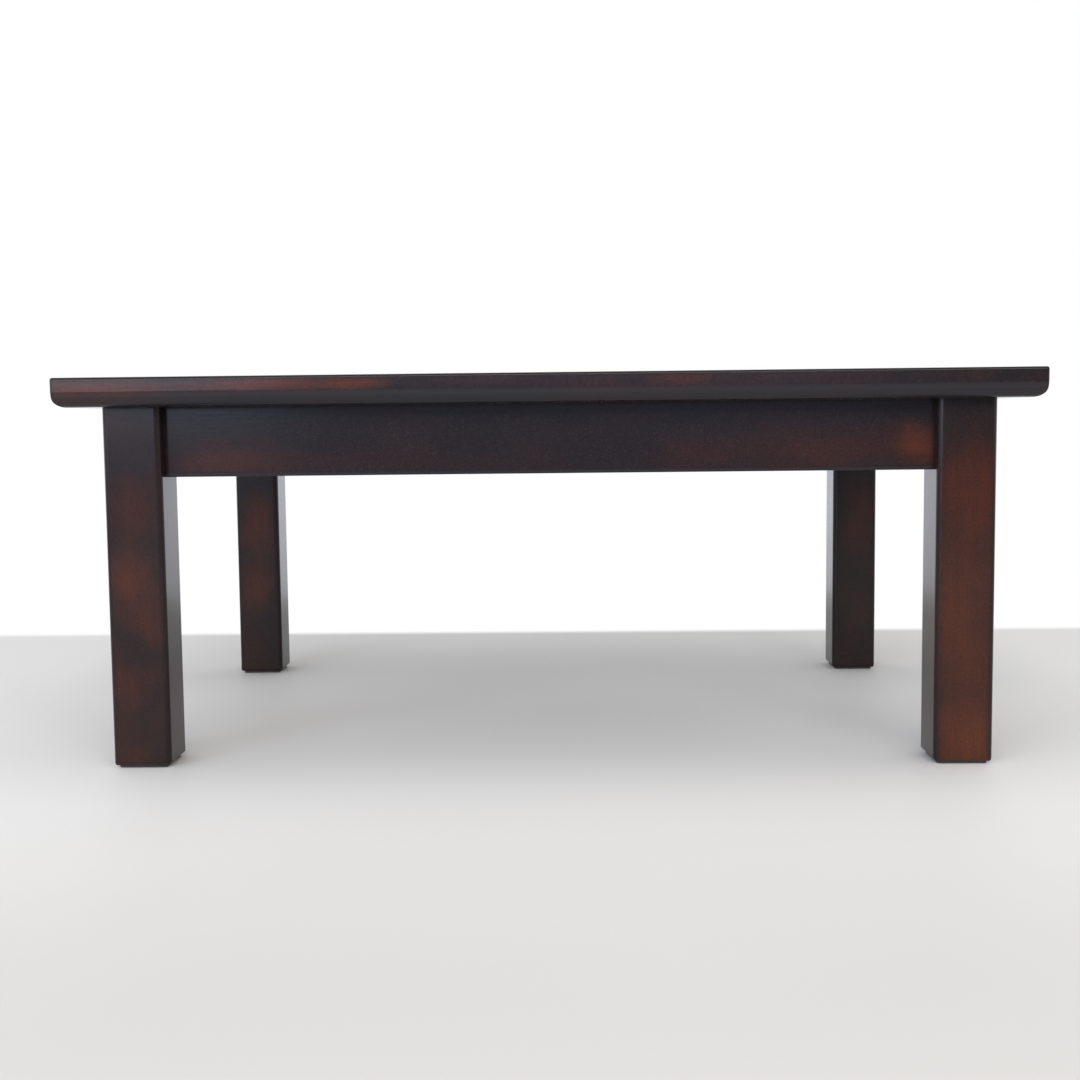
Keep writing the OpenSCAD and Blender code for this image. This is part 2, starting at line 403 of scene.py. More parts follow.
def angles(first: float, last: float, steps: int) -> list[float]:
    """Returns evenly spaced angles with both ends."""
    return [first + (last - first) * i / steps for i in range(steps + 1)]


def rounded_ring(half_x: float, half_y: float, radius: float) -> list[Flat]:
    """Draws a rectangle with rounded corners, anticlockwise.

    Args:
        half_x: Half its width along X.
        half_y: Half its width along Y.
        radius: Radius of its corners.

    Returns:
        Its points in order.
    """
    ring = []
    for quarter, (sx, sy) in enumerate(((1, 1), (-1, 1), (-1, -1), (1, -1))):
        for a in angles(quarter * math.pi / 2, (quarter + 1) * math.pi / 2, CORNER_STEPS):
            ring.append((sx * (half_x - radius) + radius * math.cos(a),
                         sy * (half_y - radius) + radius * math.sin(a)))
    return ring


def settle(thing: Thing) -> None:
    """Turns what an object's modifiers make into its plain mesh.

    Args:
        thing: The object.
    """
    seen = thing.evaluated_get(bpy.context.evaluated_depsgraph_get())
    made = bpy.data.meshes.new_from_object(seen)
    made.name = thing.name
    thing.modifiers.clear()
    thing.data = made


def drop(things: Iterable[Thing]) -> None:
    """Removes helper objects."""
    for thing in things:
        bpy.data.objects.remove(thing)


def join(thing: Thing, others: Sequence[Mesh], how: Cut = Cut.AWAY) -> None:
    """Cuts solids away from a piece or adds them to it.

    Args:
        thing: The piece that changes.
        others: The closed solids.
        how: Whether they are cut away or added.
    """
    helpers = [other.piece(f"{thing.name}_helper") for other in others]
    for helper in helpers:
        change = thing.modifiers.new("joinery", "BOOLEAN")
        change.operation = how.value
        change.solver = "EXACT"
        change.object = helper
    settle(thing)
    drop(helpers)


def ease(thing: Thing, width: float) -> None:
    """Rounds a piece's sharp edges a little, as a block plane and sandpaper do.

    Args:
        thing: The piece.
        width: How far back from an edge the rounding starts.
    """
    change = thing.modifiers.new("eased", "BEVEL")
    change.width = width
    change.segments = 2
    change.limit_method = "ANGLE"
    change.angle_limit = SHARP_TURN
    settle(thing)


def smooth(thing: Thing, crisp_heights: Sequence[float] = ()) -> None:
    """Shades a piece smoothly between its crisp edges, with even normals on its flats.

    Args:
        thing: The piece.
        crisp_heights: Heights at which a level edge stays crisp though it turns little.
    """
    work = bmesh.new()
    work.from_mesh(thing.data)
    tidy_faces(work)
    for face in work.faces:
        face.smooth = True
    for edge in work.edges:
        level = any(all(abs(v.co.z - z) < ON_HEIGHT for v in edge.verts) for z in crisp_heights)
        edge.smooth = not level and edge.calc_face_angle(0.0) < SHARP_TURN
    work.to_mesh(thing.data)
    work.free()
    change = thing.modifiers.new("flats", "WEIGHTED_NORMAL")
    change.keep_sharp = True
    settle(thing)


def mark(thing: Thing, seed: float) -> None:
    """Writes a piece's own seed on all its points, for its wood's pattern."""
    layer = thing.data.attributes.new(SEED, "FLOAT", "POINT")
    layer.data.foreach_set("value", [seed] * len(thing.data.vertices))


def seed_at(seeds: Flat, number: int) -> float:
    """Returns a piece's wood seed from the first one's and the step to the next."""
    return seeds[0] + seeds[1] * number


def hand_over(piece: Thing, slot: Slot, *nodes: str) -> None:
    """Lets a finished piece stand for its solids.

    Args:
        piece: The finished piece.
        slot: Not used; the material slot that its finish belongs to.
        nodes: Names of the solids that it stands for.
    """
    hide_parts(*nodes)
    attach(piece, BODY)
    lows, highs = zip(*(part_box(node) for node in nodes))
    co = [v.co for v in piece.data.vertices]
    off = max(max(abs(min(p[i] for p in co) - min(b[i] for b in lows)),
                  abs(max(p[i] for p in co) - max(b[i] for b in highs))) for i in range(3))
    LOG.info("%s: %d faces, box within %.2f mm of %s", piece.name, len(piece.data.polygons),
             off / MM, ", ".join(nodes))


# Node trees


class Nodes:
    """Adds nodes to a tree and links them by short calls."""

    def __init__(self, tree: Group) -> None:
        """Keeps the tree."""
        self.tree = tree

    def add(self, kind: str, **settings: Any) -> Node:
        """Adds a node and makes its settings.

        Args:
            kind: The node's type.
            settings: Values of its own settings by name.

        Returns:
            The node.
        """
        node = self.tree.nodes.new(kind)
        for name, value in settings.items():
            setattr(node, name, value)
        return node

    def feed(self, socket: Socket, value: Any) -> None:
        """Links a socket to another one, or sets its value.

        Args:
            socket: The input.
            value: Another node's output, or a value.
        """
        if isinstance(value, Socket):
            self.tree.links.new(value, socket)
        else:
            socket.default_value = value

    def fill(self, node: Node, values: dict[int | str, Any]) -> Any:
        """Feeds a node's inputs and returns its outputs.

        Args:
            node: The node.
            values: Sockets or values by the input's place or name, where an underscore stands for a space.

        Returns:
            The node's outputs.
        """
        for key, value in values.items():
            self.feed(node.inputs[key.replace("_", " ") if isinstance(key, str) else key], value)
        return node.outputs

    def use(self, kind: str, out: int | str, values: dict[int | str, Any], **settings: Any) -> Socket:
        """Adds a node, feeds it and returns one of its outputs.

        Args:
            kind: The node's type.
            out: The output's place or name.
            values: Sockets or values by the input's place or name.
            settings: The node's own settings.

        Returns:
            The output socket.
        """
        return self.fill(self.add(kind, **settings), values)[out]

    def math(self, operation: str, *values: Any, clamp: bool = False) -> Socket:
        """Returns the result of a sum on one to three values."""
        return self.use("ShaderNodeMath", 0, dict(enumerate(values)), operation=operation, use_clamp=clamp)

    def times(self, first: Any, second: Any) -> Socket:
        """Returns a value times another one."""
        return self.math("MULTIPLY", first, second)

    def line(self, value: Any, factor: Any, offset: Any, clamp: bool = False) -> Socket:
        """Returns a value times a factor, plus an offset."""
        return self.math("MULTIPLY_ADD", value, factor, offset, clamp=clamp)

    def vector(self, operation: str, *values: Any, out: int = 0) -> Socket:
        """Returns the result of a sum on vectors."""
        return self.use("ShaderNodeVectorMath", out, dict(enumerate(values)), operation=operation)

    def scaled(self, vector: Any, factor: Any) -> Socket:
        """Returns a vector times a number."""
        return self.use("ShaderNodeVectorMath", 0, {0: vector, 3: factor}, operation="SCALE")

    def axes(self, vector: Any) -> Any:
        """Returns a vector's three parts."""
        return self.fill(self.add("ShaderNodeSeparateXYZ"), {0: vector})

    def span(self, value: Any, low: float, high: float, to_low: float = 0.0,
             to_high: float = 1.0) -> Socket:
        """Returns a value brought smoothly from one range to another, held at its ends."""
        return self.use("ShaderNodeMapRange", 0, {0: value, 1: low, 2: high, 3: to_low, 4: to_high},
                        interpolation_type="SMOOTHSTEP")

    def blend(self, share: Any, first: Any, second: Any) -> Socket:
        """Mixes two colours.

        Args:
            share: How much the second one counts, from 0 to 1.
            first: A colour, or the output that gives it.
            second: The same for the other one.

        Returns:
            The mixed colour.
        """
        first, second = ((*c, 1) if isinstance(c, tuple) else c for c in (first, second))
        return self.use("ShaderNodeMix", 2, {0: share, 6: first, 7: second}, data_type="RGBA",
                        clamp_factor=True)

    def noise(self, place: Any, scale: Any, detail: float = 2.0, rough: float = 0.5,
              out: str = "Fac") -> Socket:
        """Returns smooth noise at a place."""
        return self.use("ShaderNodeTexNoise", out, {"Vector": place, "Scale": scale, "Detail": detail,
                                                    "Roughness": rough})

    def bump(self, strength: float, distance: float, height: Any) -> Socket:
        """Returns the normal of a surface with a fine relief."""
        return self.use("ShaderNodeBump", 0, {"Strength": strength, "Distance": distance, "Height": height})

    def turned(self, place: Any, turn: Point) -> Socket:
        """Returns a place turned."""
        return self.use("ShaderNodeMapping", 0, {"Vector": place, "Rotation": turn})

    def attribute(self, name: str) -> Socket:
        """Returns a value that the mesh carries."""
        return self.use("ShaderNodeAttribute", "Fac", {}, attribute_name=name)

    def random(self, low: float, high: float, seed: Any) -> Socket:
        """Returns a random number for each point or copy."""
        return self.use("FunctionNodeRandomValue", 1, {2: low, 3: high, "Seed": seed}, data_type="FLOAT")

    def group(self, group: Group, **values: Any) -> Any:
        """Returns the outputs of a placed node group with its inputs fed."""
        return self.fill(self.add("ShaderNodeGroup", node_tree=group), values)

    def close(self, out: Node, **values: Any) -> Group:
        """Feeds a group's outputs and returns the group."""
        self.fill(out, values)
        return self.tree

    def close_shape(self, out: Node, made: Any, finish: Any) -> Group:
        """Ends a group in a real mesh with one finish.

        Args:
            out: The group's output node.
            made: The finished geometry.
            finish: The material.

        Returns:
            The node group.
        """
        made = self.use("GeometryNodeRealizeInstances", 0, {"Geometry": made})
        made = self.use("GeometryNodeSetMaterial", 0, {"Geometry": made, "Material": finish})
        return self.close(out, Geometry=made)


def open_group(name: str, kind: Kind, inputs: dict[str, Any], *outputs: str) -> tuple[Nodes, Any, Node]:
    """Makes an empty node group with named sockets.

    Args:
        name: The group's name.
        kind: Whether it makes looks or shapes.
        inputs: Each input's starting value, or the kind of socket where it has none.
        outputs: The outputs' names.

    Returns:
        The group's nodes, its input sockets and its output node.
    """
    tree_kind, made = kind.value
    tree = bpy.data.node_groups.new(name, tree_kind)
    for title, value in inputs.items():
        socket = value if isinstance(value, str) else SOCKETS[type(value)]
        item = tree.interface.new_socket(name=title, in_out="INPUT", socket_type=f"NodeSocket{socket}")
        if socket != value:
            item.default_value = value
    for title in outputs:
        tree.interface.new_socket(name=title, in_out="OUTPUT", socket_type=f"NodeSocket{made}")
    return Nodes(tree), tree.nodes.new("NodeGroupInput").outputs, tree.nodes.new("NodeGroupOutput")


class SharedEffects:
    """Node groups that several of the finishes place."""

    def __init__(self) -> None:
        """Builds each group once."""
        self.grain = self._grain()
        self.toner = self._toner()
        self.patch = self._patch()
        self.mottle = self._mottle()
        self.lacquer = self._lacquer()

    @staticmethod
    def _grain() -> Group:
        """Makes the pattern of the wood itself, with the grain along Z.

        Its outputs run from 0 to 1: Figure is the broad bands of growth, Fibre the fine
        streaks and Pores the short open dashes.

        Returns:
            The node group.
        """
        s, given, out = open_group(
            "wood_grain", Kind.LOOKS,
            {"Vector": "Vector", "Seed": 0.0, "Ring Width": 0.012, "Pore Spacing": 0.0009, "Pore Share": 0.3},
            "Figure", "Fibre", "Pores")
        place = s.vector("ADD", given["Vector"], s.scaled((3.71, 2.37, 5.13), given["Seed"]))
        long_place = s.vector("MULTIPLY", place, (1, 1, 0.05))
        wander = s.noise(long_place, 9.0, 3.0)
        core = s.vector("MULTIPLY", place, (1.0, 0.55, 0.02))
        from_pith = s.vector("LENGTH", s.vector("ADD", core, (0.11, 0.19, 0)), out=1)
        rings = s.math("DIVIDE", from_pith, given["Ring Width"])
        rings = s.math("SINE", s.line(wander, 26.0, s.times(rings, math.tau)))
        figure = s.line(rings, 0.22, s.noise(long_place, 34.0, 4.0, 0.62))
        fibre = s.noise(long_place, 520.0, 3.0, 0.65)
        fine = s.vector("MULTIPLY", place, (1, 1, 0.28))
        scale = s.math("DIVIDE", 1.0, given["Pore Spacing"])
        cells = s.fill(s.add("ShaderNodeTexVoronoi"), {"Vector": fine, "Scale": scale, "Randomness": 1.0})
        chosen = s.use("ShaderNodeSeparateColor", 0, {0: cells["Color"]})
        chosen = s.math("LESS_THAN", chosen, given["Pore Share"])
        return s.close(out, Figure=s.span(figure, 0.22, 0.8), Fibre=s.span(fibre, 0.3, 0.7),
                       Pores=s.times(s.span(cells["Distance"], 0.34, 0.12), chosen))

    @staticmethod
    def _toner() -> Group:
        """Makes the mask of the dark toner that was sprayed along a piece's edges.

        Returns:
            The node group.
        """
        s, given, out = open_group(
            "edge_toner", Kind.LOOKS,
            {"Vector": "Vector", "Centre": (0, 0, 0), "Half Size": (0.1, 0.1, 0.1), "Reach": 0.012,
             "Unevenness": 0.5}, "Mask")
        # The pieces are alike on both sides of the middle, so one quarter of the table stands for all
        quarter = s.vector("ABSOLUTE", given["Vector"])
        from_centre = s.vector("ABSOLUTE", s.vector("SUBTRACT", quarter, given["Centre"]))
        a, b, c = s.axes(s.vector("SUBTRACT", given["Half Size"], from_centre))
        # On a face the least of the three depths is 0, so the middle one is the way to the nearest edge
        middle = s.math("MAXIMUM", s.math("MINIMUM", a, b), s.math("MINIMUM", s.math("MAXIMUM", a, b), c))
        loose = s.line(s.noise(given["Vector"], 55.0, 3.0, 0.6), 2.0, -1.0)
        reach = s.times(given["Reach"], s.line(loose, given["Unevenness"], 1.0))
        share = s.math("DIVIDE", middle, s.math("MAXIMUM", reach, MM))
        return s.close(out, Mask=s.span(share, 1.0, 0.25))

    @staticmethod
    def _patch() -> Group:
        """Makes one soft patch where the toner is thinner or thicker, added to what came before.

        Returns:
            The node group.
        """
        s, given, out = open_group(
            "stain_patch", Kind.LOOKS,
            {"Vector": "Vector", "Centre": (0, 0, 0), "Reach": (1, 1, 1), "Strength": 1.0, "Before": 0.0},
            "After")
        away = s.vector("DIVIDE", s.vector("SUBTRACT", given["Vector"], given["Centre"]), given["Reach"])
        share = s.span(s.vector("LENGTH", away, out=1), 1.0, 0.0)
        return s.close(out, After=s.line(share, given["Strength"], given["Before"]))

    @staticmethod
    def _mottle() -> Group:
        """Makes the cloudy unevenness of a sprayed stain, from 0 where it is thick to 1.

        Returns:
            The node group.
        """
        s, given, out = open_group(
            "stain_clouds", Kind.LOOKS,
            {"Vector": "Vector", "Seed": 0.0, "Cloud Size": 0.09, "Stretch": 0.5}, "Mask")
        moved = s.vector("ADD", given["Vector"], s.scaled((1.31, 4.17, 2.93), given["Seed"]))
        stretch = s.use("ShaderNodeCombineXYZ", 0, {0: 1.0, 1: 1.0, 2: given["Stretch"]})
        place = s.vector("MULTIPLY", moved, stretch)
        cloud = s.noise(place, s.math("DIVIDE", 1.0, given["Cloud Size"]), 3.0, 0.55)
        return s.close(out, Mask=s.span(cloud, 0.40, 0.68))

    @staticmethod
    def _lacquer() -> Group:
        """Makes the satin film: its roughness, and a height with the pores sunk in it.

        Returns:
            The node group.
        """
        s, given, out = open_group(
            "satin_film", Kind.LOOKS,
            {"Vector": "Vector", "Pores": 0.0, "Fibre": 0.5, "Sheen Roughness": 0.32, "Variation": 0.08},
            "Roughness", "Height")
        cloudy = s.math("SUBTRACT", s.noise(given["Vector"], 24.0, 4.0, 0.6), 0.5)
        rough = s.line(cloudy, given["Variation"], given["Sheen Roughness"])
        height = s.line(s.noise(given["Vector"], 210.0), 0.5, s.times(given["Fibre"], 0.22))
        return s.close(out, Roughness=s.line(given["Pores"], 0.10, rough, clamp=True),
                       Height=s.line(given["Pores"], -0.6, height))


# Finishes


class Skin(Nodes):
    """The nodes of a new material.

    Attributes:
        material: The material.
        place: The place on the object.
    """

    def __init__(self, name: str) -> None:
        """Makes the material.

        Args:
            name: Its name.
        """
        self.material = bpy.data.materials.new(name)
        self.material.use_nodes = True
        super().__init__(self.material.node_tree)
        self.place = self.use("ShaderNodeTexCoord", "Object", {})

    def dress(self, **values: Any) -> Material:
        """Feeds the shader's sockets and returns the material."""
        self.fill(self.tree.nodes["Principled BSDF"], values)
        return self.material


@dataclass(frozen=True)
class Patch:
    """A hand-rubbed spot in the stain, on whichever piece lies there.

    Attributes:
        centre: Its middle, in metres.
        reach: Half its size along each axis.
        strength: How much thinner the dark toner is there, or thicker where below 0.
        warmth: How far its colour goes from red to orange.
    """

    centre: Point
    reach: Point
    strength: float
    warmth: float


@dataclass(frozen=True)
class StainedWood:
    """Dark toner over a red-brown stain on a fine-pored hardwood, under satin lacquer.

    Attributes:
        name: The material's name.
        grain: The way the grain runs.
        centre: Middle of the piece in the quarter where X and Y are above 0.
        half_size: Half the piece's size.
        patches: Hand-rubbed spots.
        toned: Colour where the toner is thick.
        painted_floor_reflection: Colour on the underside, a painted reflection of the pale floor in the
            rounding, lighter and bluish grey.
        painted_reflection_below: Height under which that painted reflection takes over.
        red: Colour where it is thin.
        orange: Colour where it is thin and the wood under it is paler.
        fleck: Colour of the fine pores where the toner missed them.
        edge_reach: Width of the darker strip along the edges.
        clouds: How much the toner varies by itself.
        drift: How far the patches' outlines wander along each axis.
        ground: Share of the red that shows everywhere.
        gloss: Roughness of the lacquer.
    """

    name: str
    grain: Grain
    centre: Point
    half_size: Point
    patches: tuple[Patch, ...] = ()
    toned: Point = (0.0104, 0.0068, 0.0075)
    painted_floor_reflection: Point = (0.0165, 0.0155, 0.0180)
    painted_reflection_below: float = 0.0
    red: Point = (0.112, 0.0195, 0.0048)
    orange: Point = (0.145, 0.036, 0.0048)
    fleck: Point = (0.075, 0.045, 0.038)
    edge_reach: float = 0.009
    clouds: float = 0.12
    drift: Point = (0.035, 0.035, 0.035)
    ground: float = 0.03
    gloss: float = 0.17

    def material(self, shared: SharedEffects) -> Material:
        """Builds the material.

        Args:
            shared: The node groups that the finishes share.

        Returns:
            The new material.
        """
        s = Skin(self.name)
        seed, lined_up = s.attribute(SEED), s.turned(s.place, self.grain.value)
        grain = s.group(shared.grain, Vector=lined_up, Seed=seed, Ring_Width=0.017, Pore_Share=0.4)
        clouds = s.group(shared.mottle, Vector=lined_up, Seed=seed, Cloud_Size=0.075, Stretch=0.45)
        toner = s.group(shared.toner, Vector=s.place, Centre=self.centre, Half_Size=self.half_size,
                        Reach=self.edge_reach, Unevenness=0.45)
        speckle = s.noise(s.place, 430.0, 2.0, 0.6)
        # Share of the stain that shows through the toner, and how orange it is
        drift = s.vector("SUBTRACT", s.noise(s.place, 24.0, out="Color"), (0.5, 0.5, 0.5))
        drifted = s.vector("ADD", s.place, s.vector("MULTIPLY", drift, self.drift))
        thin: Any = self.ground
        warm: Any = 0.0
        for patch in self.patches:
            spot = {"Vector": drifted, "Centre": patch.centre, "Reach": patch.reach}
            thin = s.group(shared.patch, Before=thin, Strength=patch.strength, **spot)["After"]
            if patch.warmth:
                warm = s.group(shared.patch, Before=warm, Strength=patch.warmth, **spot)["After"]
        thin = s.line(s.math("SUBTRACT", clouds["Mask"], 0.35), self.clouds, thin)
        for mask, factor, offset in ((toner["Mask"], -0.8, 1.0), (grain["Figure"], 0.12, 0.93),
                                     (speckle, 0.9, 0.55)):
            thin = s.times(thin, s.line(mask, factor, offset))
        thin = s.line(s.math("SUBTRACT", grain["Fibre"], 0.5), s.times(thin, 0.3), thin, clamp=True)
        # Colours of the toner, the stain and the missed pores; below the given height a painted
        # reflection of the floor, lighter and bluish grey with less red, takes over from the toner
        under = s.span(s.axes(s.place)[2], self.painted_reflection_below + 0.7 * MM, self.painted_reflection_below - 2.5 * MM)
        thin = s.times(thin, s.line(under, -0.6, 1.0))
        dark = s.blend(under, s.scaled(self.toned, s.line(speckle, 1.4, 0.3)), self.painted_floor_reflection)
        colour = s.blend(thin, dark, s.blend(warm, self.red, self.orange))
        missed = s.times(grain["Pores"], s.line(thin, 0.30, 0.03))
        film = s.group(shared.lacquer, Vector=s.place, Pores=grain["Pores"], Fibre=grain["Fibre"],
                       Sheen_Roughness=self.gloss)
        return s.dress(Base_Color=s.blend(missed, colour, self.fleck), Roughness=film["Roughness"],
                       Normal=s.bump(0.35, 0.12 * MM, film["Height"]), IOR=1.30)


@dataclass(frozen=True)
class BareWood:
    """Planed hardwood without a finish, with its grain along X.

    Attributes:
        name: The material's name.
        early: Colour of the paler growth.
        late: Colour of the darker growth.
        pore: Colour in the pores.
    """

    name: str = "bare hardwood"
    early: Point = (0.52, 0.34, 0.19)
    late: Point = (0.36, 0.205, 0.10)
    pore: Point = (0.17, 0.09, 0.045)

    def material(self, shared: SharedEffects) -> Material:
        """Builds the material from the shared grain.

        Args:
            shared: The node groups that the finishes share.

        Returns:
            The new material.
        """
        s = Skin(self.name)
        grain = s.group(shared.grain, Vector=s.turned(s.place, Grain.ALONG_X.value), Seed=s.attribute(SEED),
                        Ring_Width=0.006, Pore_Share=0.5)
        colour = s.blend(grain["Figure"], self.early, self.late)
        colour = s.blend(s.times(grain["Fibre"], 0.25), colour, self.late)
        colour = s.blend(s.times(grain["Pores"], 0.7), colour, self.pore)
        film = s.group(shared.lacquer, Vector=s.place, Pores=grain["Pores"], Fibre=grain["Fibre"],
                       Sheen_Roughness=0.62)
        return s.dress(Base_Color=colour, Roughness=film["Roughness"],
                       Normal=s.bump(0.5, 0.15 * MM, film["Height"]))


@dataclass(frozen=True)
class Plywood:
    """Birch plywood with its plies level, for the splines.

    Attributes:
        name: The material's name.
        ply: Thickness of one ply.
        face: Colour of the plies with the grain along the strip.
        cross: Colour of the plies across it.
    """

    name: str = "birch plywood"
    ply: float = 1.2 * MM
    face: Point = (0.60, 0.43, 0.25)
    cross: Point = (0.40, 0.26, 0.14)

    def material(self, shared: SharedEffects) -> Material:
        """Builds the material from the shared grain and the plies' own stripes.

        Args:
            shared: The node groups that the finishes share.

        Returns:
            The new material.
        """
        s = Skin(self.name)
        grain = s.group(shared.grain, Vector=s.turned(s.place, Grain.ALONG_X.value), Ring_Width=0.02)
        stripe = s.math("FRACT", s.math("DIVIDE", s.axes(s.place)[2], 2 * self.ply))
        colour = s.blend(s.math("GREATER_THAN", stripe, 0.5), self.face, self.cross)
        colour = s.blend(s.times(grain["Fibre"], 0.3), colour, self.cross)
        film = s.group(shared.lacquer, Vector=s.place, Pores=grain["Pores"], Sheen_Roughness=0.7)
        return s.dress(Base_Color=colour, Roughness=film["Roughness"])


@dataclass(frozen=True)
class Felt:
    """Pressed felt, with a few fibres worn pale.

    Attributes:
        name: The material's name.
        dark: Colour of the wool.
        light: Colour of the wool that stands up.
        worn: Colour of the worn fibres.
    """

    name: str = "black felt"
    dark: Point = (0.012, 0.011, 0.011)
    light: Point = (0.0288, 0.0264, 0.0264)
    worn: Point = (0.45, 0.40, 0.36)

    def material(self) -> Material:
        """Builds the material, with its wool in small curls.

        Returns:
            The new material.
        """
        s = Skin(self.name)
        wool = s.noise(s.place, 900.0, 4.0, 0.7)
        curls = s.use("ShaderNodeTexVoronoi", "Distance", {"Vector": s.place, "Scale": 1400.0})
        colour = s.blend(s.span(wool, 0.35, 0.75), self.dark, self.light)
        return s.dress(Base_Color=s.blend(s.attribute(TONE), colour, self.worn),
                       Roughness=s.span(wool, 0.0, 1.0, 0.85, 1.0), Sheen_Weight=0.15, Sheen_Roughness=0.6,
                       Normal=s.bump(0.8, 0.3 * MM, s.math("ADD", wool, s.times(curls, 0.6))))


@dataclass(frozen=True)
class ZincPlate:
    """Yellow zinc plating on steel.

    Attributes:
        name: The material's name.
        bright: Colour of the plating.
        stained: Colour where it has gone dull.
    """

    name: str = "yellow zinc plate"
    bright: Point = (0.72, 0.60, 0.33)
    stained: Point = (0.40, 0.31, 0.17)

    def material(self) -> Material:
        """Builds the material, with dull clouds and fine scratches.

        Returns:
            The new material.
        """
        s = Skin(self.name)
        dull = s.span(s.noise(s.place, 420.0, 4.0, 0.65), 0.42, 0.68)
        scratch = s.noise(s.vector("MULTIPLY", s.place, (1, 0.08, 1)), 2600.0)
        return s.dress(Base_Color=s.blend(dull, self.bright, self.stained),
                       Metallic=s.span(dull, 0.0, 1.0, 1.0, 0.85),
                       Roughness=s.line(scratch, 0.16, s.span(dull, 0.0, 1.0, 0.24, 0.42)),
                       Normal=s.bump(0.25, 0.05 * MM, scratch))


# Geometry Nodes


def set_inputs(change: bpy.types.Modifier, values: dict[str, Any]) -> None:
    """Sets a Geometry Nodes modifier's inputs by the identifiers of the named sockets.

    Args:
        change: The modifier, whose tree is set.
        values: Values by the inputs' names.
    """
    for item in change.node_group.interface.items_tree:
        if item.item_type == "SOCKET" and item.in_out == "INPUT" and item.name in values:
            change[item.identifier] = values[item.name]


def grow(thing: Thing, tree: Group, values: dict[str, Any]) -> None:
    """Runs a Geometry Nodes tree on an object and keeps the result as its plain mesh.

    Args:
        thing: The object.
        tree: The tree.
        values: The tree's inputs by name.
    """
    change = thing.modifiers.new(tree.name, "NODES")
    change.node_group = tree
    set_inputs(change, values)
    settle(thing)


def copy_tree() -> Group:
    """Makes the tree that sets a copy of a made piece in its place, mirrored as needed.

    Returns:
        The node group.
    """
    g, given, out = open_group(
        "set_in_place", Kind.SHAPE,
        {"Master": "Object", "Mirror": (1, 1, 1), "Turn": (0, 0, 0), "Place": (0, 0, 0), "Wood Seed": 0.0,
         "Finish": "Material"}, "Geometry")
    made = g.use("GeometryNodeObjectInfo", "Geometry", {"Object": given["Master"]})
    made = g.use("GeometryNodeTransform", 0, {"Geometry": made, "Scale": given["Mirror"]})
    made = g.use("GeometryNodeTransform", 0, {"Geometry": made, "Rotation": given["Turn"],
                                              "Translation": given["Place"]})
    made = g.use("GeometryNodeStoreNamedAttribute", 0,
                 {"Geometry": made, "Name": SEED, "Value": given["Wood Seed"]},
                 data_type="FLOAT", domain="POINT")
    return g.close_shape(out, made, given["Finish"])


def post_tree() -> Group:
    """Makes the tree that planes a square post round a path, with a chamfer round its foot.

    Returns:
        The node group.
    """
    g, given, out = open_group(
        "planed_post", Kind.SHAPE,
        {"Path": "Geometry", "Width": 0.06, "Edge Radius": 0.006, "Edge Steps": 8, "Foot Height": 0.0,
         "Chamfer": 0.003, "Chamfer Softness": 0.0005, "Finish": "Material"}, "Geometry")
    width = given["Width"]
    square = g.use("GeometryNodeCurvePrimitiveQuadrilateral", 0, {"Width": width, "Height": width})
    section = g.use("GeometryNodeFilletCurve", 0, {"Curve": square, "Radius": given["Edge Radius"],
                                                   "Count": given["Edge Steps"]}, mode="POLY")
    post = g.use("GeometryNodeCurveToMesh", 0, {"Curve": given["Path"], "Profile Curve": section,
                                                "Fill Caps": True})
    x, y, z = g.axes(g.use("GeometryNodeInputPosition", 0, {}))
    rise = g.math("SUBTRACT", z, given["Foot Height"])
    inset = g.math("SMOOTH_MAX", 0.0, g.math("SUBTRACT", given["Chamfer"], rise), given["Chamfer Softness"])
    limit = g.math("SUBTRACT", g.times(width, 0.5), inset)
    back = g.times(limit, -1.0)
    held = [g.math("MAXIMUM", back, g.math("MINIMUM", limit, axis)) for axis in (x, y)]
    moved = g.use("ShaderNodeCombineXYZ", 0, {0: held[0], 1: held[1], 2: z})
    post = g.use("GeometryNodeSetPosition", 0, {"Geometry": post, "Position": moved})
    post = g.use("GeometryNodeMergeByDistance", 0, {"Geometry": post, "Distance": POST_MERGE})
    return g.close_shape(out, post, given["Finish"])


def screw_tree() -> Group:
    """Makes the tree that drives one screw in at each point, along the point's aim.

    Returns:
        The node group.
    """
    g, given, out = open_group(
        "driven_screws", Kind.SHAPE,
        {"Points": "Geometry", "Screw": "Object", "Turn Seed": 0, "Finish": "Material"}, "Geometry")
    one = g.use("GeometryNodeObjectInfo", "Geometry", {"Object": given["Screw"]})
    aim = g.use("GeometryNodeInputNamedAttribute", 0, {"Name": AIM}, data_type="FLOAT_VECTOR")
    turn = g.use("FunctionNodeAlignRotationToVector", 0, {"Vector": aim}, axis="Z")
    spin = g.use("FunctionNodeAxisAngleToRotation", 0,
                 {"Axis": (0, 0, 1), "Angle": g.random(0.0, math.pi, given["Turn Seed"])})
    turn = g.use("FunctionNodeRotateRotation", 0, {0: turn, 1: spin}, rotation_space="LOCAL")
    made = g.use("GeometryNodeInstanceOnPoints", 0,
                 {"Points": given["Points"], "Instance": one, "Rotation": turn})
    return g.close_shape(out, made, given["Finish"])


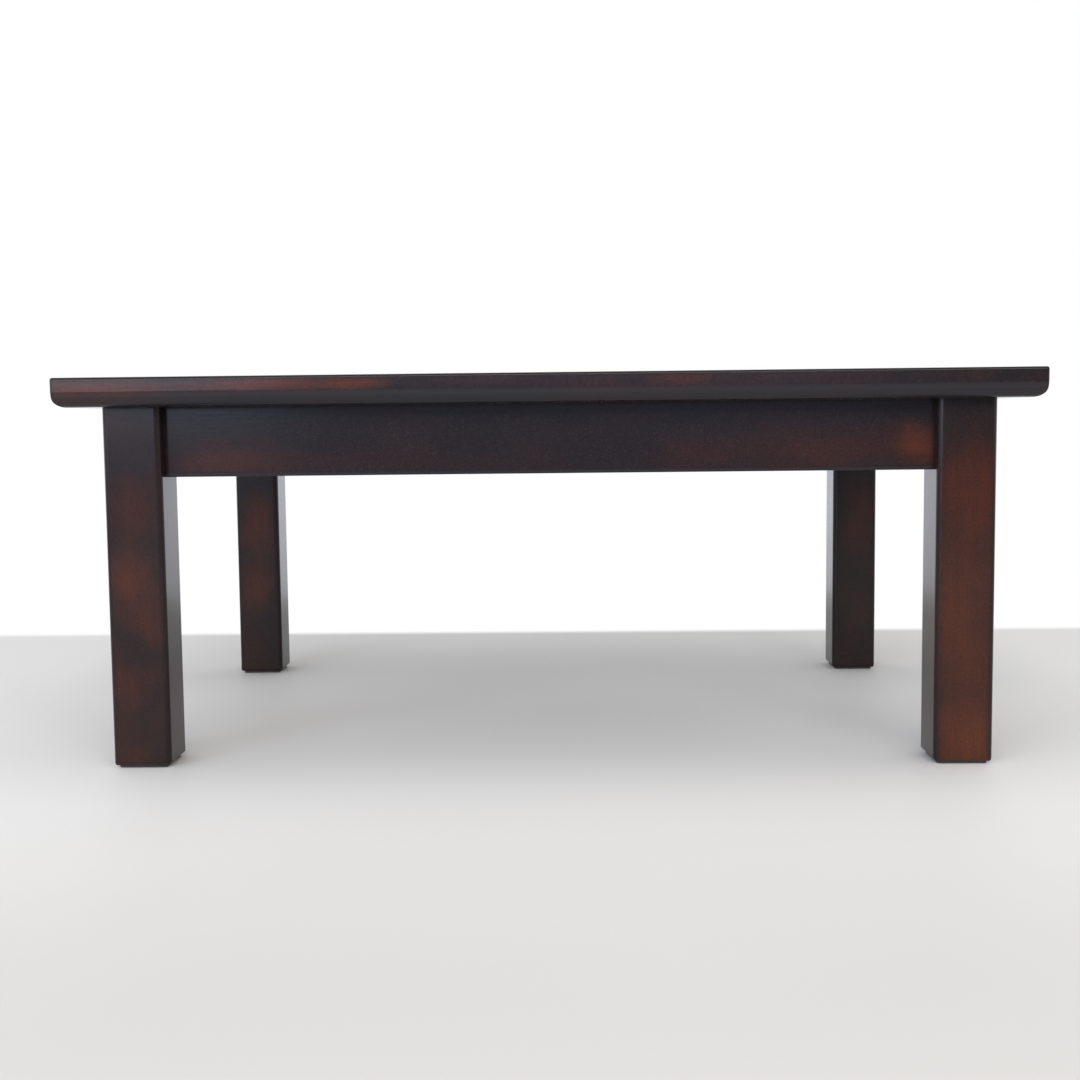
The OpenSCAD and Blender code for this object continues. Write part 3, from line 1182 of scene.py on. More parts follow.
def fuzz_tree() -> Group:
    """Makes the tree that raises short wool fibres on the upright edge of a felt pad.

    Returns:
        The node group.
    """
    g, given, out = open_group(
        "felt_fuzz", Kind.SHAPE,
        {"Pad": "Geometry", "Fibres per Area": 2.5e5, "Fibre Length": 0.0012, "Fibre Radius": 0.00005,
         "Worn Share": 0.06, "Fuzz Seed": 0, "Finish": "Material"}, "Geometry")
    seed = given["Fuzz Seed"]
    up = g.math("ABSOLUTE", g.axes(g.use("GeometryNodeInputNormal", 0, {}))[2])
    upright = g.use("FunctionNodeCompare", 0, {0: up, 1: 0.5}, data_type="FLOAT", operation="LESS_THAN")
    spread = g.fill(g.add("GeometryNodeDistributePointsOnFaces", distribute_method="RANDOM"),
                    {"Mesh": given["Pad"], "Selection": upright, "Density": given["Fibres per Area"],
                     "Seed": seed})
    fibre = g.use("GeometryNodeMeshCone", 0, {"Vertices": 3, "Side Segments": 1, "Fill Segments": 1,
                                              "Radius Top": 0.0, "Radius Bottom": given["Fibre Radius"],
                                              "Depth": given["Fibre Length"]})
    lean = g.use("FunctionNodeRandomValue", 0, {0: (-0.9, -0.9, -0.9), 1: (0.9, 0.9, 0.9), "Seed": seed},
                 data_type="FLOAT_VECTOR")
    turn = g.use("FunctionNodeAlignRotationToVector", 0, {"Vector": g.vector("ADD", spread["Normal"], lean)},
                 axis="Z")
    fuzz = g.use("GeometryNodeInstanceOnPoints", 0, {"Points": spread["Points"], "Instance": fibre,
                                                     "Rotation": turn, "Scale": g.random(0.35, 1.0, seed)})
    pale = g.math("LESS_THAN", g.random(0.0, 1.0, seed), given["Worn Share"])
    fuzz = g.use("GeometryNodeStoreNamedAttribute", 0, {"Geometry": fuzz, "Name": TONE, "Value": pale},
                 data_type="FLOAT", domain="INSTANCE")
    joined = g.add("GeometryNodeJoinGeometry")
    for part in (given["Pad"], g.use("GeometryNodeRealizeInstances", 0, {"Geometry": fuzz})):
        g.feed(joined.inputs[0], part)
    return g.close_shape(out, joined.outputs[0], given["Finish"])


@dataclass(frozen=True)
class Copies:
    """Sets copies of a made piece in their places.

    Attributes:
        plan: The shared sizes.
        tree: The tree that sets one copy.
    """

    plan: Plan
    tree: Group

    def lay(self, name: str, node: str, slot: Slot, values: dict[str, Any]) -> None:
        """Sets one copy in its place and hands it over.

        Args:
            name: The new piece's name.
            node: The solid that it stands for.
            slot: Its material slot.
            values: The tree's inputs.
        """
        piece = Mesh([(0, 0, 0)], []).piece(name)
        grow(piece, self.tree, values)
        smooth(piece)
        hand_over(piece, slot, node)

    def along(self, matrix: Matrix, name: str, node: str, slot: Slot, values: dict[str, Any]) -> None:
        """Sets one copy where a matrix takes it."""
        place = {"Turn": tuple(matrix.to_euler()), "Place": tuple(matrix.translation)}
        self.lay(name, node, slot, {**place, **values})

    def corners(self, name: str, node: str, slot: Slot, seeds: Flat, values: dict[str, Any]) -> None:
        """Sets a copy in each corner, mirrored into it, and removes the made piece.

        Args:
            name: The start of the new pieces' names.
            node: The start of their solids' names.
            slot: Their material slot.
            seeds: The first piece's wood seed and the step to the next.
            values: The tree's other inputs, the made piece among them.
        """
        for number, corner in enumerate(CORNERS):
            self.lay(f"{name}_{corner.name}", f"{node}_{corner.name}", slot,
                     {"Mirror": (-corner.x, -corner.y, 1),
                      "Place": (*self.plan.leg_place(corner), 0),
                      "Wood Seed": seed_at(seeds, number), **values})
        drop([values["Master"]])


# Joinery that more than one sub-assembly needs


def tenon(plan: Plan, play: float = 0.0, end_play: float = 0.0) -> list[Mesh]:
    """Returns an apron's mitred tongue and haunch, or their mortise where there is play.

    They lie in a corner's own frame: the leg's axis at the origin, +X and +Y to the
    table's middle, for the apron that runs along X.

    Args:
        plan: The shared sizes.
        play: Gap beside the tongue.
        end_play: Gap past its end.

    Returns:
        Two closed solids that overlap.
    """
    half = plan.tenon_t / 2 + play
    shoulder = plan.leg_w / 2 + CUT
    tip = plan.end_play - end_play
    foot = plan.under_z - plan.apron_h + plan.tenon_foot
    head = plan.under_z - plan.haunch_h
    top = plan.under_z + (CUT if play else 0.0)
    tongue = [(shoulder, -half), (shoulder, half), (half + tip, half), (-half + tip, -half)]
    inner = plan.leg_w / 2 - plan.haunch_l - end_play
    haunch = [(shoulder, -half), (shoulder, half), (inner, half), (inner, -half)]
    return [prism(tongue, foot - play, head + play), prism(haunch, foot + CUT, top)]


def tail(plan: Plan, play: float = 0.0) -> list[Flat]:
    """Draws the cross rail's dovetail from above, from its shoulder outwards along -Y.

    Args:
        plan: The shared sizes.
        play: Gap round it, for its socket.

    Returns:
        Its points in order.
    """
    neck = plan.tail_neck / 2 + play
    flare = plan.tail_flare * (plan.tail_l + play) / plan.tail_l
    end = -plan.tail_l - play
    return [(-neck, CUT), (neck, CUT), (neck, 0), (neck + flare, end), (-neck - flare, end), (-neck, 0)]


# Sub-assemblies


@dataclass
class Part:
    """A sub-assembly.

    Attributes:
        plan: The shared sizes.
        finish: Its finish.
    """

    plan: Plan
    finish: Material

    def finish_off(self, piece: Thing, seed: float, slot: Slot, node: str,
                   crisp: Sequence[float] = ()) -> None:
        """Shades and dresses a piece that was made in its place, and hands it over.

        Args:
            piece: The new piece.
            seed: Its wood's seed.
            slot: Its material slot.
            node: The solid that it stands for.
            crisp: Heights at which a level edge stays crisp.
        """
        smooth(piece, crisp)
        mark(piece, seed)
        piece.data.materials.append(self.finish)
        hand_over(piece, slot, node)


@dataclass
class CopiedPart(Part):
    """A sub-assembly whose pieces are copies of a made one.

    Attributes:
        copies: Sets copies in place.
    """

    copies: Copies


@dataclass
class Tabletop(Part):
    """Five boards, edge-jointed with loose splines, with a rim rounded underneath.

    Attributes:
        spline_finish: The splines' plywood.
        under_r: Radius of the rounding under the rim.
        under_drop: Height of the crease above the underside.
        under_lean: Lean of the slope between the rounding and the crease.
        upper_r: Rounding of the upper edge.
        corner_r: Rounding of the upright corners.
        mitre_r: Softening of the mitre under each corner.
        under_steps: Steps round the rounding under the rim.
        upper_steps: Steps round the upper edge.
        joint_bevel: Bevel along each joint between boards.
        spline_t: Thickness of a spline.
        spline_w: Width of a spline.
        spline_stop: Wood left between a spline and the top's ends.
        seeds: The first board's wood seed and the step to the next.
    """

    spline_finish: Material
    under_r: float = 12.5 * MM
    under_drop: float = 15.5 * MM
    under_lean: float = math.radians(4)
    upper_r: float = 2.5 * MM
    corner_r: float = 3.5 * MM
    mitre_r: float = 0.9 * MM
    under_steps: int = 14
    upper_steps: int = 7
    joint_bevel: float = 0.2 * MM
    spline_t: float = 6 * MM
    spline_w: float = 20 * MM
    spline_stop: float = 40 * MM
    seeds: Flat = (1.0, 0.73)

    def _profile(self) -> list[Flat]:
        """Draws the rim from the underside up.

        Returns:
            Inset and height of each of its points.
        """
        slope_foot = self.under_r * (1 - math.sin(self.under_lean))
        slope_reach = (self.under_drop - slope_foot) * math.tan(self.under_lean)
        reach = slope_reach + self.under_r * math.cos(self.under_lean)
        under = [(reach - self.under_r * math.sin(a), self.under_r * (1 - math.cos(a)))
                 for a in angles(0, math.pi / 2 - self.under_lean, self.under_steps)]
        under.append((0.0, self.under_drop))
        edge = self.plan.top_t - self.upper_r
        upper = [(self.upper_r * (1 - math.cos(a)), edge + self.upper_r * math.sin(a))
                 for a in angles(0, math.pi / 2, self.upper_steps)]
        return under + upper

    def _blank(self) -> Thing:
        """Makes the whole top before it is parted into boards.

        Returns:
            The blank.
        """
        plan, rings = self.plan, []
        for inset, height in self._profile():
            radius = max(self.corner_r - inset, self.mitre_r)
            ring = rounded_ring(plan.top_w / 2 - inset, plan.top_d / 2 - inset, radius)
            rings.append([(x, y, plan.under_z + height) for x, y in ring])
        return loft(rings).piece("top_blank")

    def _groove(self, joint: float) -> Mesh:
        """Makes what is cut for a spline, on both sides of a joint.

        Args:
            joint: The joint's place along Y.

        Returns:
            The closed mesh.
        """
        plan = self.plan
        x = plan.top_w / 2 - self.spline_stop + plan.end_play
        y = self.spline_w / 2 + plan.end_play
        z = self.spline_t / 2 + plan.play
        middle = plan.under_z + plan.top_t / 2
        return block((-x, joint - y, middle - z), (x, joint + y, middle + z))

    def _screw_holes(self, low: float, high: float) -> list[Mesh]:
        """Makes the screws' holes in the underside of one board.

        Args:
            low: The board's front edge along Y.
            high: Its back edge.

        Returns:
            The holes that lie between them.
        """
        plan, holes = self.plan, []
        inner = plan.apron_t / 2 + plan.play + plan.button_l / 2
        spots = [Vector((0, y, 0)) for y in plan.rail_screws()]
        spots += [side.matrix(plan) @ Vector((x, inner, 0)) for side, x in plan.buttons()]
        for spot in spots:
            if low < spot.y < high:
                holes.append(rod(plan.screw_r + plan.play, (spot.x, spot.y, plan.under_z - CUT),
                                 (spot.x, spot.y, plan.under_z + plan.top_bite + plan.play),
                                 sides=HOLE_SIDES))
        return holes

    def _board(self, blank: Thing, number: int) -> Thing:
        """Parts one board from the blank, with its bevelled joints and its grooves.

        Args:
            blank: The whole top.
            number: The board's number from the front, from 0.

        Returns:
            The board.
        """
        plan = self.plan
        low = number * plan.board_d - plan.top_d / 2
        high = low + plan.board_d
        joints = [y for y in (low, high) if abs(abs(y) - plan.top_d / 2) > MM]
        work = bmesh.new()
        work.from_mesh(blank.data)
        for y in joints:
            cut = bmesh.ops.bisect_plane(work, geom=work.verts[:] + work.edges[:] + work.faces[:], dist=MERGE,
                                         plane_co=(0, y, 0), plane_no=(0, 1 if y == high else -1, 0),
                                         clear_outer=True)
            rim = [e for e in cut["geom_cut"] if isinstance(e, bmesh.types.BMEdge)]
            bmesh.ops.holes_fill(work, edges=rim)
            work.normal_update()
            around = [e for e in work.edges if all(abs(v.co.y - y) < ON_HEIGHT for v in e.verts)]
            bmesh.ops.bevel(work, geom=around, offset=self.joint_bevel, segments=1, affect="EDGES",
                            clamp_overlap=True)
        data = bpy.data.meshes.new("board")
        work.to_mesh(data)
        work.free()
        board = new_object(f"stained_board_{number + 1}", data)
        join(board, [self._groove(y) for y in joints] + self._screw_holes(low, high))
        return board

    def build(self) -> None:
        """Makes the boards and dresses them and the splines."""
        blank = self._blank()
        for number in range(self.plan.boards):
            board = self._board(blank, number)
            self.finish_off(board, seed_at(self.seeds, number), Slot.TOP, f"top_board_{number + 1}",
                            (self.plan.under_z + self.under_drop,))
        drop([blank])
        for number in range(1, self.plan.boards):
            dress(f"spline_{number}", self.spline_finish)


def dress(node: str, material: Material) -> None:
    """Gives a solid that stays its own finish.

    Args:
        node: The solid's name.
        material: Its finish.
    """
    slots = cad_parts[node].data.materials
    slots.clear()
    slots.append(material)
    LOG.info("%s: kept, in %s", node, material.name)


@dataclass
class Legs(CopiedPart):
    """Four square legs with rounded arrises, a chamfered foot and mortises for the aprons.

    Attributes:
        arris_r: Rounding of the upright edges.
        arris_steps: Steps round them.
        chamfer: Chamfer round the foot.
        chamfer_soft: Softness of its edge.
        foot_reach: How far the fine steps go up from the foot, in chamfers.
        foot_steps: How many there are.
        shaft_steps: Steps over the whole leg.
        seeds: The first leg's wood seed and the step to the next.
    """

    arris_r: float = 6.5 * MM
    arris_steps: int = 8
    chamfer: float = 3 * MM
    chamfer_soft: float = 0.6 * MM
    foot_reach: float = 1.4
    foot_steps: int = 14
    shaft_steps: int = 6
    seeds: Flat = (7.0, 1.3)

    def _master(self) -> Thing:
        """Makes one leg in its corner's own frame, with the table's middle towards +X and +Y.

        Returns:
            The leg.
        """
        plan = self.plan
        foot, fine, whole = plan.pad_t, self.foot_steps, self.shaft_steps
        heights = [foot + self.chamfer * self.foot_reach * i / fine for i in range(fine + 1)]
        heights += [foot + (plan.under_z - foot) * i / whole for i in range(1, whole + 1)]
        path = bpy.data.curves.new("leg_path", "CURVE")
        path.dimensions = "3D"
        line = path.splines.new("POLY")
        line.points.add(len(heights) - 1)
        for point, z in zip(line.points, heights):
            point.co = (0, 0, z, 1)
        guide = new_object("leg_path", path)
        change = guide.modifiers.new("post", "NODES")
        change.node_group = post_tree()
        set_inputs(change, {"Width": plan.leg_w, "Edge Radius": self.arris_r, "Edge Steps": self.arris_steps,
                            "Foot Height": foot, "Chamfer": self.chamfer,
                            "Chamfer Softness": self.chamfer_soft, "Finish": self.finish})
        seen = guide.evaluated_get(bpy.context.evaluated_depsgraph_get())
        leg = new_object("leg_master", bpy.data.meshes.new_from_object(seen))
        drop([guide])
        smooth(leg)
        mirror = Matrix(((0, 1, 0, 0), (1, 0, 0, 0), (0, 0, 1, 0), (0, 0, 0, 1)))
        mortise = tenon(plan, plan.play, 2 * plan.end_play)
        join(leg, mortise + [part.moved(mirror) for part in mortise])
        return leg

    def build(self) -> None:
        """Makes the four legs from one master."""
        self.copies.corners("stained_leg", "leg", Slot.LEG, self.seeds,
                            {"Master": self._master(), "Finish": self.finish})


@dataclass
class FootPads(Part):
    """Felt pads under the legs, a little smaller than the feet.

    Attributes:
        width: Width of a pad.
        corner_r: Rounding of its corners.
        edge_r: Softness of its edges.
        edge_bow: Place of the middle of an edge's curve, as a share of that.
        fibres: How many fibres stand up from a square metre of the edge.
        fibre_l: Length of the fibres.
        fibre_r: Their radius.
        worn: Share of them that is pale.
        worn_back: The same under the back left leg.
        seed: The first pad's seed.
    """

    width: float = 52 * MM
    corner_r: float = 4 * MM
    edge_r: float = 0.5 * MM
    edge_bow: float = 0.3
    fibres: float = 3.0e5
    fibre_l: float = 1.1 * MM
    fibre_r: float = 0.05 * MM
    worn: float = 0.05
    worn_back: float = 0.30
    seed: int = 11

    def build(self) -> None:
        """Makes the four pads and their fuzz."""
        plan, fuzz = self.plan, fuzz_tree()
        half, thick, edge, bow = self.width / 2, plan.pad_t, self.edge_r, self.edge_bow * self.edge_r
        layers = ((0.0, edge), (bow, bow), (edge, 0.0),
                  (thick - edge, 0.0), (thick - bow, bow), (thick, edge))
        for number, corner in enumerate(CORNERS):
            x, y = plan.leg_place(corner)
            rings = [[(x + u, y + v, z) for u, v in
                      rounded_ring(half - inset, half - inset, self.corner_r - inset)] for z, inset in layers]
            pad = loft(rings).piece(f"felt_pad_{corner.name}")
            smooth(pad)
            worn = self.worn_back if corner.name == "back_left" else self.worn
            grow(pad, fuzz, {"Worn Share": worn, "Fuzz Seed": self.seed + number,
                             "Fibre Length": self.fibre_l, "Fibre Radius": self.fibre_r,
                             "Fibres per Area": self.fibres, "Finish": self.finish})
            keep_above_floor(pad)
            hand_over(pad, Slot.PAD, f"foot_pad_{corner.name}")


def keep_above_floor(thing: Thing) -> None:
    """Lifts the few points that fell below the floor back onto it."""
    for vertex in thing.data.vertices:
        vertex.co.z = max(vertex.co.z, 0.0)


@dataclass
class Aprons(CopiedPart):
    """Four set-back aprons with mitred tenons, and slots for the buttons.

    Attributes:
        side_finish: Finish of the side aprons.
        lower_r: Rounding of the lower edges.
        lower_steps: Steps round them.
        slot_room: How far a slot runs past its button on each side.
        seeds: The first apron's wood seed and the step to the next.
    """

    side_finish: Material
    lower_r: float = 2 * MM
    lower_steps: int = 6
    slot_room: float = 4 * MM
    seeds: Flat = (15.0, 2.1)

    def _section(self) -> list[Flat]:
        """Draws an apron's section across its length, from the lower right round.

        Returns:
            Its points in order.
        """
        half, radius = self.plan.apron_t / 2, self.lower_r
        low = [(half - radius + radius * math.cos(a), radius + radius * math.sin(a))
               for a in angles(-math.pi / 2, 0, self.lower_steps)]
        left = [(-y, z) for y, z in reversed(low)]
        return low + [(half, self.plan.apron_h), (-half, self.plan.apron_h)] + left

    def _master(self, side: Side) -> Thing:
        """Makes one apron in its side's own frame, with the table's middle towards +Y.

        Args:
            side: A long side or a short one.

        Returns:
            The apron.
        """
        plan, run = self.plan, self.plan.run(side)
        base = plan.under_z - plan.apron_h
        body = loft([[(x, y, base + z) for y, z in self._section()] for x in (-run, run)])
        apron = body.piece("apron_master")
        tongues = []
        for end in (1, -1):
            place = Matrix.Diagonal((end, 1, 1, 1)) @ Matrix.Translation((-run - plan.leg_w / 2, 0, 0))
            tongues += [part.moved(place) for part in tenon(plan)]
        join(apron, tongues, Cut.ADDED)
        inner = plan.apron_t / 2
        cuts = []
        for x in plan.button_places(side):
            half = plan.button_w / 2 + self.slot_room
            floor = plan.under_z - plan.button_h - plan.play
            cuts.append(block((x - half, inner - plan.tongue_l - plan.end_play, floor),
                              (x + half, inner + CUT, floor + plan.tongue_t + plan.play)))
        for end in (-1, 1):
            x, z = end * (run + plan.leg_w / 2 - plan.block_screw), plan.under_z - plan.block_h / 2
            cuts.append(rod(plan.screw_r + plan.play, (x, inner + CUT, z),
                            (x, inner - plan.apron_bite - plan.play, z), sides=HOLE_SIDES))
        if side.long:
            foot = plan.under_z - plan.rail_h + plan.tail_foot - plan.play
            socket = prism(tail(plan, plan.play), foot, plan.under_z + CUT)
            cuts.append(socket.moved(Matrix.Translation((0, inner, 0))))
        join(apron, cuts)
        return apron

    def build(self) -> None:
        """Makes the four aprons from a long and a short master."""
        masters = {True: self._master(SIDES[0]), False: self._master(SIDES[2])}
        for number, side in enumerate(SIDES):
            self.copies.along(
                side.matrix(self.plan), f"stained_apron_{side.name}", f"apron_{side.name}", Slot.APRON,
                {"Master": masters[side.long], "Wood Seed": seed_at(self.seeds, number),
                 "Finish": self.finish if side.long else self.side_finish})
        drop(masters.values())


@dataclass
class CrossRail(Part):
    """Rail under the middle of the top, dovetailed down into the long aprons.

    Attributes:
        thickness: Its thickness.
        edge: Rounding of its edges.
        seed: Its wood's seed.
    """

    thickness: float = 28 * MM
    edge: float = 1 * MM
    seed: float = 31.0

    def build(self) -> None:
        """Makes the rail."""
        plan = self.plan
        reach = plan.leg_y - plan.apron_t / 2
        low, top = plan.under_z - plan.rail_h, plan.under_z
        half = self.thickness / 2
        rail = block((-half, -reach, low), (half, reach, top)).piece("stained_cross_rail")
        ease(rail, self.edge)
        tails = []
        for turn in (0, math.pi):
            place = Matrix.Rotation(turn, 4, "Z") @ Matrix.Translation((0, -reach, 0))
            tails.append(prism(tail(plan), low + plan.tail_foot, top).moved(place))
        join(rail, tails, Cut.ADDED)
        bores = []
        seat = top - plan.rail_grip
        for y in plan.rail_screws():
            bores.append(rod(plan.screw_r + plan.play, (0, y, seat - CUT), (0, y, top + CUT)))
            bores.append(rod(plan.bore_r, (0, y, low - CUT), (0, y, seat), sides=BORE_SIDES))
        join(rail, bores)
        self.finish_off(rail, self.seed, Slot.APRON, "cross_rail")


@dataclass
class CornerBlocks(CopiedPart):
    """Glued and screwed blocks in the angles behind the legs.

    Attributes:
        end: Width of the flat at each end.
        edge: Rounding of the edges.
        seeds: The first block's wood seed and the step to the next.
    """

    end: float = 8 * MM
    edge: float = 0.8 * MM
    seeds: Flat = (40.0, 1.7)

    def _master(self) -> Thing:
        """Makes one block in its corner's own frame.

        Returns:
            The block.
        """
        plan = self.plan
        face, near = plan.leg_w / 2, plan.apron_t / 2
        tip = face + plan.block_arm
        outline = [(face, face), (face, near), (tip, near), (tip, near + self.end),
                   (near + self.end, tip), (near, tip), (near, face)]
        made = prism(outline, plan.under_z - plan.block_h, plan.under_z).piece("block_master")
        ease(made, self.edge)
        bores = []
        z, seat = plan.under_z - plan.block_h / 2, near + plan.block_grip
        for swap in (False, True):
            for radius, first, last in ((plan.screw_r + plan.play, near - CUT, seat + CUT),
                                        (plan.bore_r, seat, seat + plan.block_arm)):
                ends = [(plan.block_screw, v, z) for v in (first, last)]
                bores.append(rod(radius, *((y, x, z) if swap else (x, y, z) for x, y, z in ends)))
        join(made, bores)
        return made

    def build(self) -> None:
        """Makes the four blocks from one master."""
        self.copies.corners("bare_block", "corner_block", Slot.BLOCK, self.seeds,
                            {"Master": self._master(), "Finish": self.finish})


@dataclass
class Buttons(CopiedPart):
    """Wooden buttons that hook into the aprons' slots and hold the top down.

    Attributes:
        edge: Rounding of the edges.
        seeds: The first button's wood seed and the step to the next.
    """

    edge: float = 0.8 * MM
    seeds: Flat = (50.0, 1.9)

    def _master(self) -> Thing:
        """Makes one button in its apron's own frame, at the middle of the apron.

        Returns:
            The button.
        """
        plan = self.plan
        inner = plan.apron_t / 2
        low, top = plan.under_z - plan.button_h, plan.under_z
        start, end = inner + plan.play, inner + plan.play + plan.button_l
        profile = [(inner - plan.tongue_l, low), (end, low), (end, top), (start, top),
                   (start, low + plan.tongue_t), (inner - plan.tongue_l, low + plan.tongue_t)]
        half = plan.button_w / 2
        made = loft([[(x, y, z) for y, z in profile] for x in (-half, half)]).piece("button_master")
        ease(made, self.edge)
        middle = (start + end) / 2
        join(made, [rod(plan.screw_r + plan.play, (0, middle, low - CUT), (0, middle, top + CUT))])
        return made

    def build(self) -> None:
        """Makes the eight buttons from one master."""
        plan, master = self.plan, self._master()
        for number, (side, x) in enumerate(plan.buttons()):
            matrix = side.matrix(plan) @ Matrix.Translation((x, 0, 0))
            at = matrix @ Vector((0, plan.apron_t, 0))
            end = ("left", "right")[at.x > 0] if side.long else ("front", "back")[at.y > 0]
            name = f"{side.name}_{end}"
            self.copies.along(matrix, f"bare_button_{name}", f"button_{name}", Slot.BLOCK,
                              {"Master": master, "Wood Seed": seed_at(self.seeds, number),
                               "Finish": self.finish})
        drop([master])


@dataclass
class Screws(Part):
    """Pan-head wood screws in the buttons, the blocks and the cross rail.

    Attributes:
        pitch: Distance between two threads.
        core: Radius between the threads.
        ridge: Half the width of a thread, as a share of the pitch.
        tip: Share of the radius that is left at the point.
        dome: Shares of the head's height under its dome and in it.
        dome_start: Angle above the dome's rim at which its flat middle ends.
        dome_steps: Steps from there down to the rim.
        seat_edge: Shares of the head's radius at its seat and of its height where it is full.
        recess: Width of the cross recess.
        recess_arm: Half the width of its arms.
        recess_depth: Its depth.
        sides: Points round the screw.
        turn_steps: Rings to one turn of the thread.
    """

    pitch: float = 2.0 * MM
    core: float = 1.45 * MM
    ridge: float = 0.22
    tip: float = 0.08
    dome: Flat = (0.45, 0.55)
    dome_start: float = math.radians(80)
    dome_steps: int = 6
    seat_edge: Flat = (0.97, 0.1)
    recess: float = 4.0 * MM
    recess_arm: float = 0.5 * MM
    recess_depth: float = 1.3 * MM
    sides: int = 20
    turn_steps: int = 5

    def _master(self, length: float, name: str) -> Thing:
        """Makes one screw that points up, with its head's seat at the origin.

        Args:
            length: Its length under the head.
            name: Its name.

        Returns:
            The screw.
        """
        plan, sides = self.plan, self.sides
        point = 2 * plan.screw_r
        steps = int(length / self.pitch * self.turn_steps)
        under, dome = self.dome
        seat, full = self.seat_edge
        head = [(plan.head_r * math.cos(a), -plan.head_t * (under + dome * math.sin(a)))
                for a in reversed(angles(0, self.dome_start, self.dome_steps))]
        head += [(plan.head_r, -full * plan.head_t), (plan.head_r * seat, 0.0)]
        rings = [[(r * math.cos(a), r * math.sin(a), z) for a in angles(0, 2 * math.pi, sides)[:-1]]
                 for r, z in head]
        for step in range(steps + 1):
            z = length * step / steps
            shrink = min(1.0, self.tip + (length - z) / point)
            ring = []
            for turn in range(sides):
                wave = (z / self.pitch - turn / sides) % 1.0
                bite = max(0.0, 1 - abs(wave - 0.5) / self.ridge) * (1.0 if z > self.pitch else 0.0)
                r = (self.core + (plan.screw_r - self.core) * bite) * shrink
                a = 2 * math.pi * turn / sides
                ring.append((r * math.cos(a), r * math.sin(a), z))
            rings.append(ring)
        screw = loft(rings).piece(name)
        wide, thin, floor = self.recess / 2, self.recess_arm, self.recess_depth - plan.head_t
        bars = [block((-w, -h, -2 * plan.head_t), (w, h, floor)) for w, h in ((wide, thin), (thin, wide))]
        join(screw, bars)
        return screw

    def _set(self, tree: Group, node: str, length: float,
             spots: Sequence[tuple[Vector, Vector]]) -> None:
        """Drives one set of equal screws.

        Args:
            tree: The tree that drives them.
            node: The solid that they stand for.
            length: Length under the head.
            spots: Place and aim of each screw.
        """
        master = self._master(length, f"{node}_master")
        piece = Mesh([tuple(at) for at, _ in spots], []).piece(f"plated_{node}")
        layer = piece.data.attributes.new(AIM, "FLOAT_VECTOR", "POINT")
        for vertex, item in zip(piece.data.vertices, layer.data):
            item.vector = min(spots, key=lambda spot: (spot[0] - vertex.co).length)[1]
        grow(piece, tree, {"Screw": master, "Turn Seed": len(spots), "Finish": self.finish})
        smooth(piece)
        hand_over(piece, Slot.SCREW, node)
        drop([master])

    def build(self) -> None:
        """Drives the three sets."""
        plan, tree = self.plan, screw_tree()
        up = Vector((0, 0, 1))
        middle = plan.apron_t / 2 + plan.play + plan.button_l / 2
        low = plan.under_z - plan.button_h
        self._set(tree, "button_screws", plan.button_h + plan.top_bite,
                  [(side.matrix(plan) @ Vector((x, middle, low)), up) for side, x in plan.buttons()])
        seat = plan.under_z - plan.rail_grip
        self._set(tree, "rail_screws", plan.rail_grip + plan.top_bite,
                  [(Vector((0, y, seat)), up) for y in plan.rail_screws()])
        seat, z = plan.apron_t / 2 + plan.block_grip, plan.under_z - plan.block_h / 2
        spots = []
        for corner in CORNERS:
            for u, v, aim in ((plan.block_screw, seat, Vector((0, corner.y, 0))),
                              (seat, plan.block_screw, Vector((corner.x, 0, 0)))):
                spots.append((Vector((corner.x * (plan.leg_x - u), corner.y * (plan.leg_y - v), z)), aim))
        self._set(tree, "block_screws", plan.block_grip + plan.apron_bite, spots)


# Stage


@dataclass(frozen=True)
class Lamp:
    """A soft rectangular lamp that the camera doesn't see.

    Attributes:
        name: The lamp's name.
        place: Its middle.
        aim: The point that it faces.
        size: Its width and height.
        watts: Its power.
        colour: The colour of its light.
    """

    name: str
    place: Point
    aim: Point
    size: Flat
    watts: float
    colour: Point

    def hang(self) -> None:
        """Puts the lamp in the scene."""
        data = bpy.data.lights.new(self.name, "AREA")
        data.shape = "RECTANGLE"
        data.size, data.size_y = self.size
        data.energy = self.watts
        data.color = self.colour
        lamp = new_object(self.name, data)
        lamp.location = self.place
        lamp.rotation_euler = (Vector(self.aim) - Vector(self.place)).to_track_quat("-Z", "Y").to_euler()
        lamp.visible_camera = False


@dataclass(frozen=True)
class Glow:
    """A colour of the surroundings that takes over along one axis.

    Attributes:
        axis: 0 for X, 1 for Y and 2 for Z.
        start: Where it begins, as a part of the direction of view from the table.
        full: Where nothing else is left.
        colour: The colour.
    """

    axis: int
    start: float
    full: float
    colour: Point


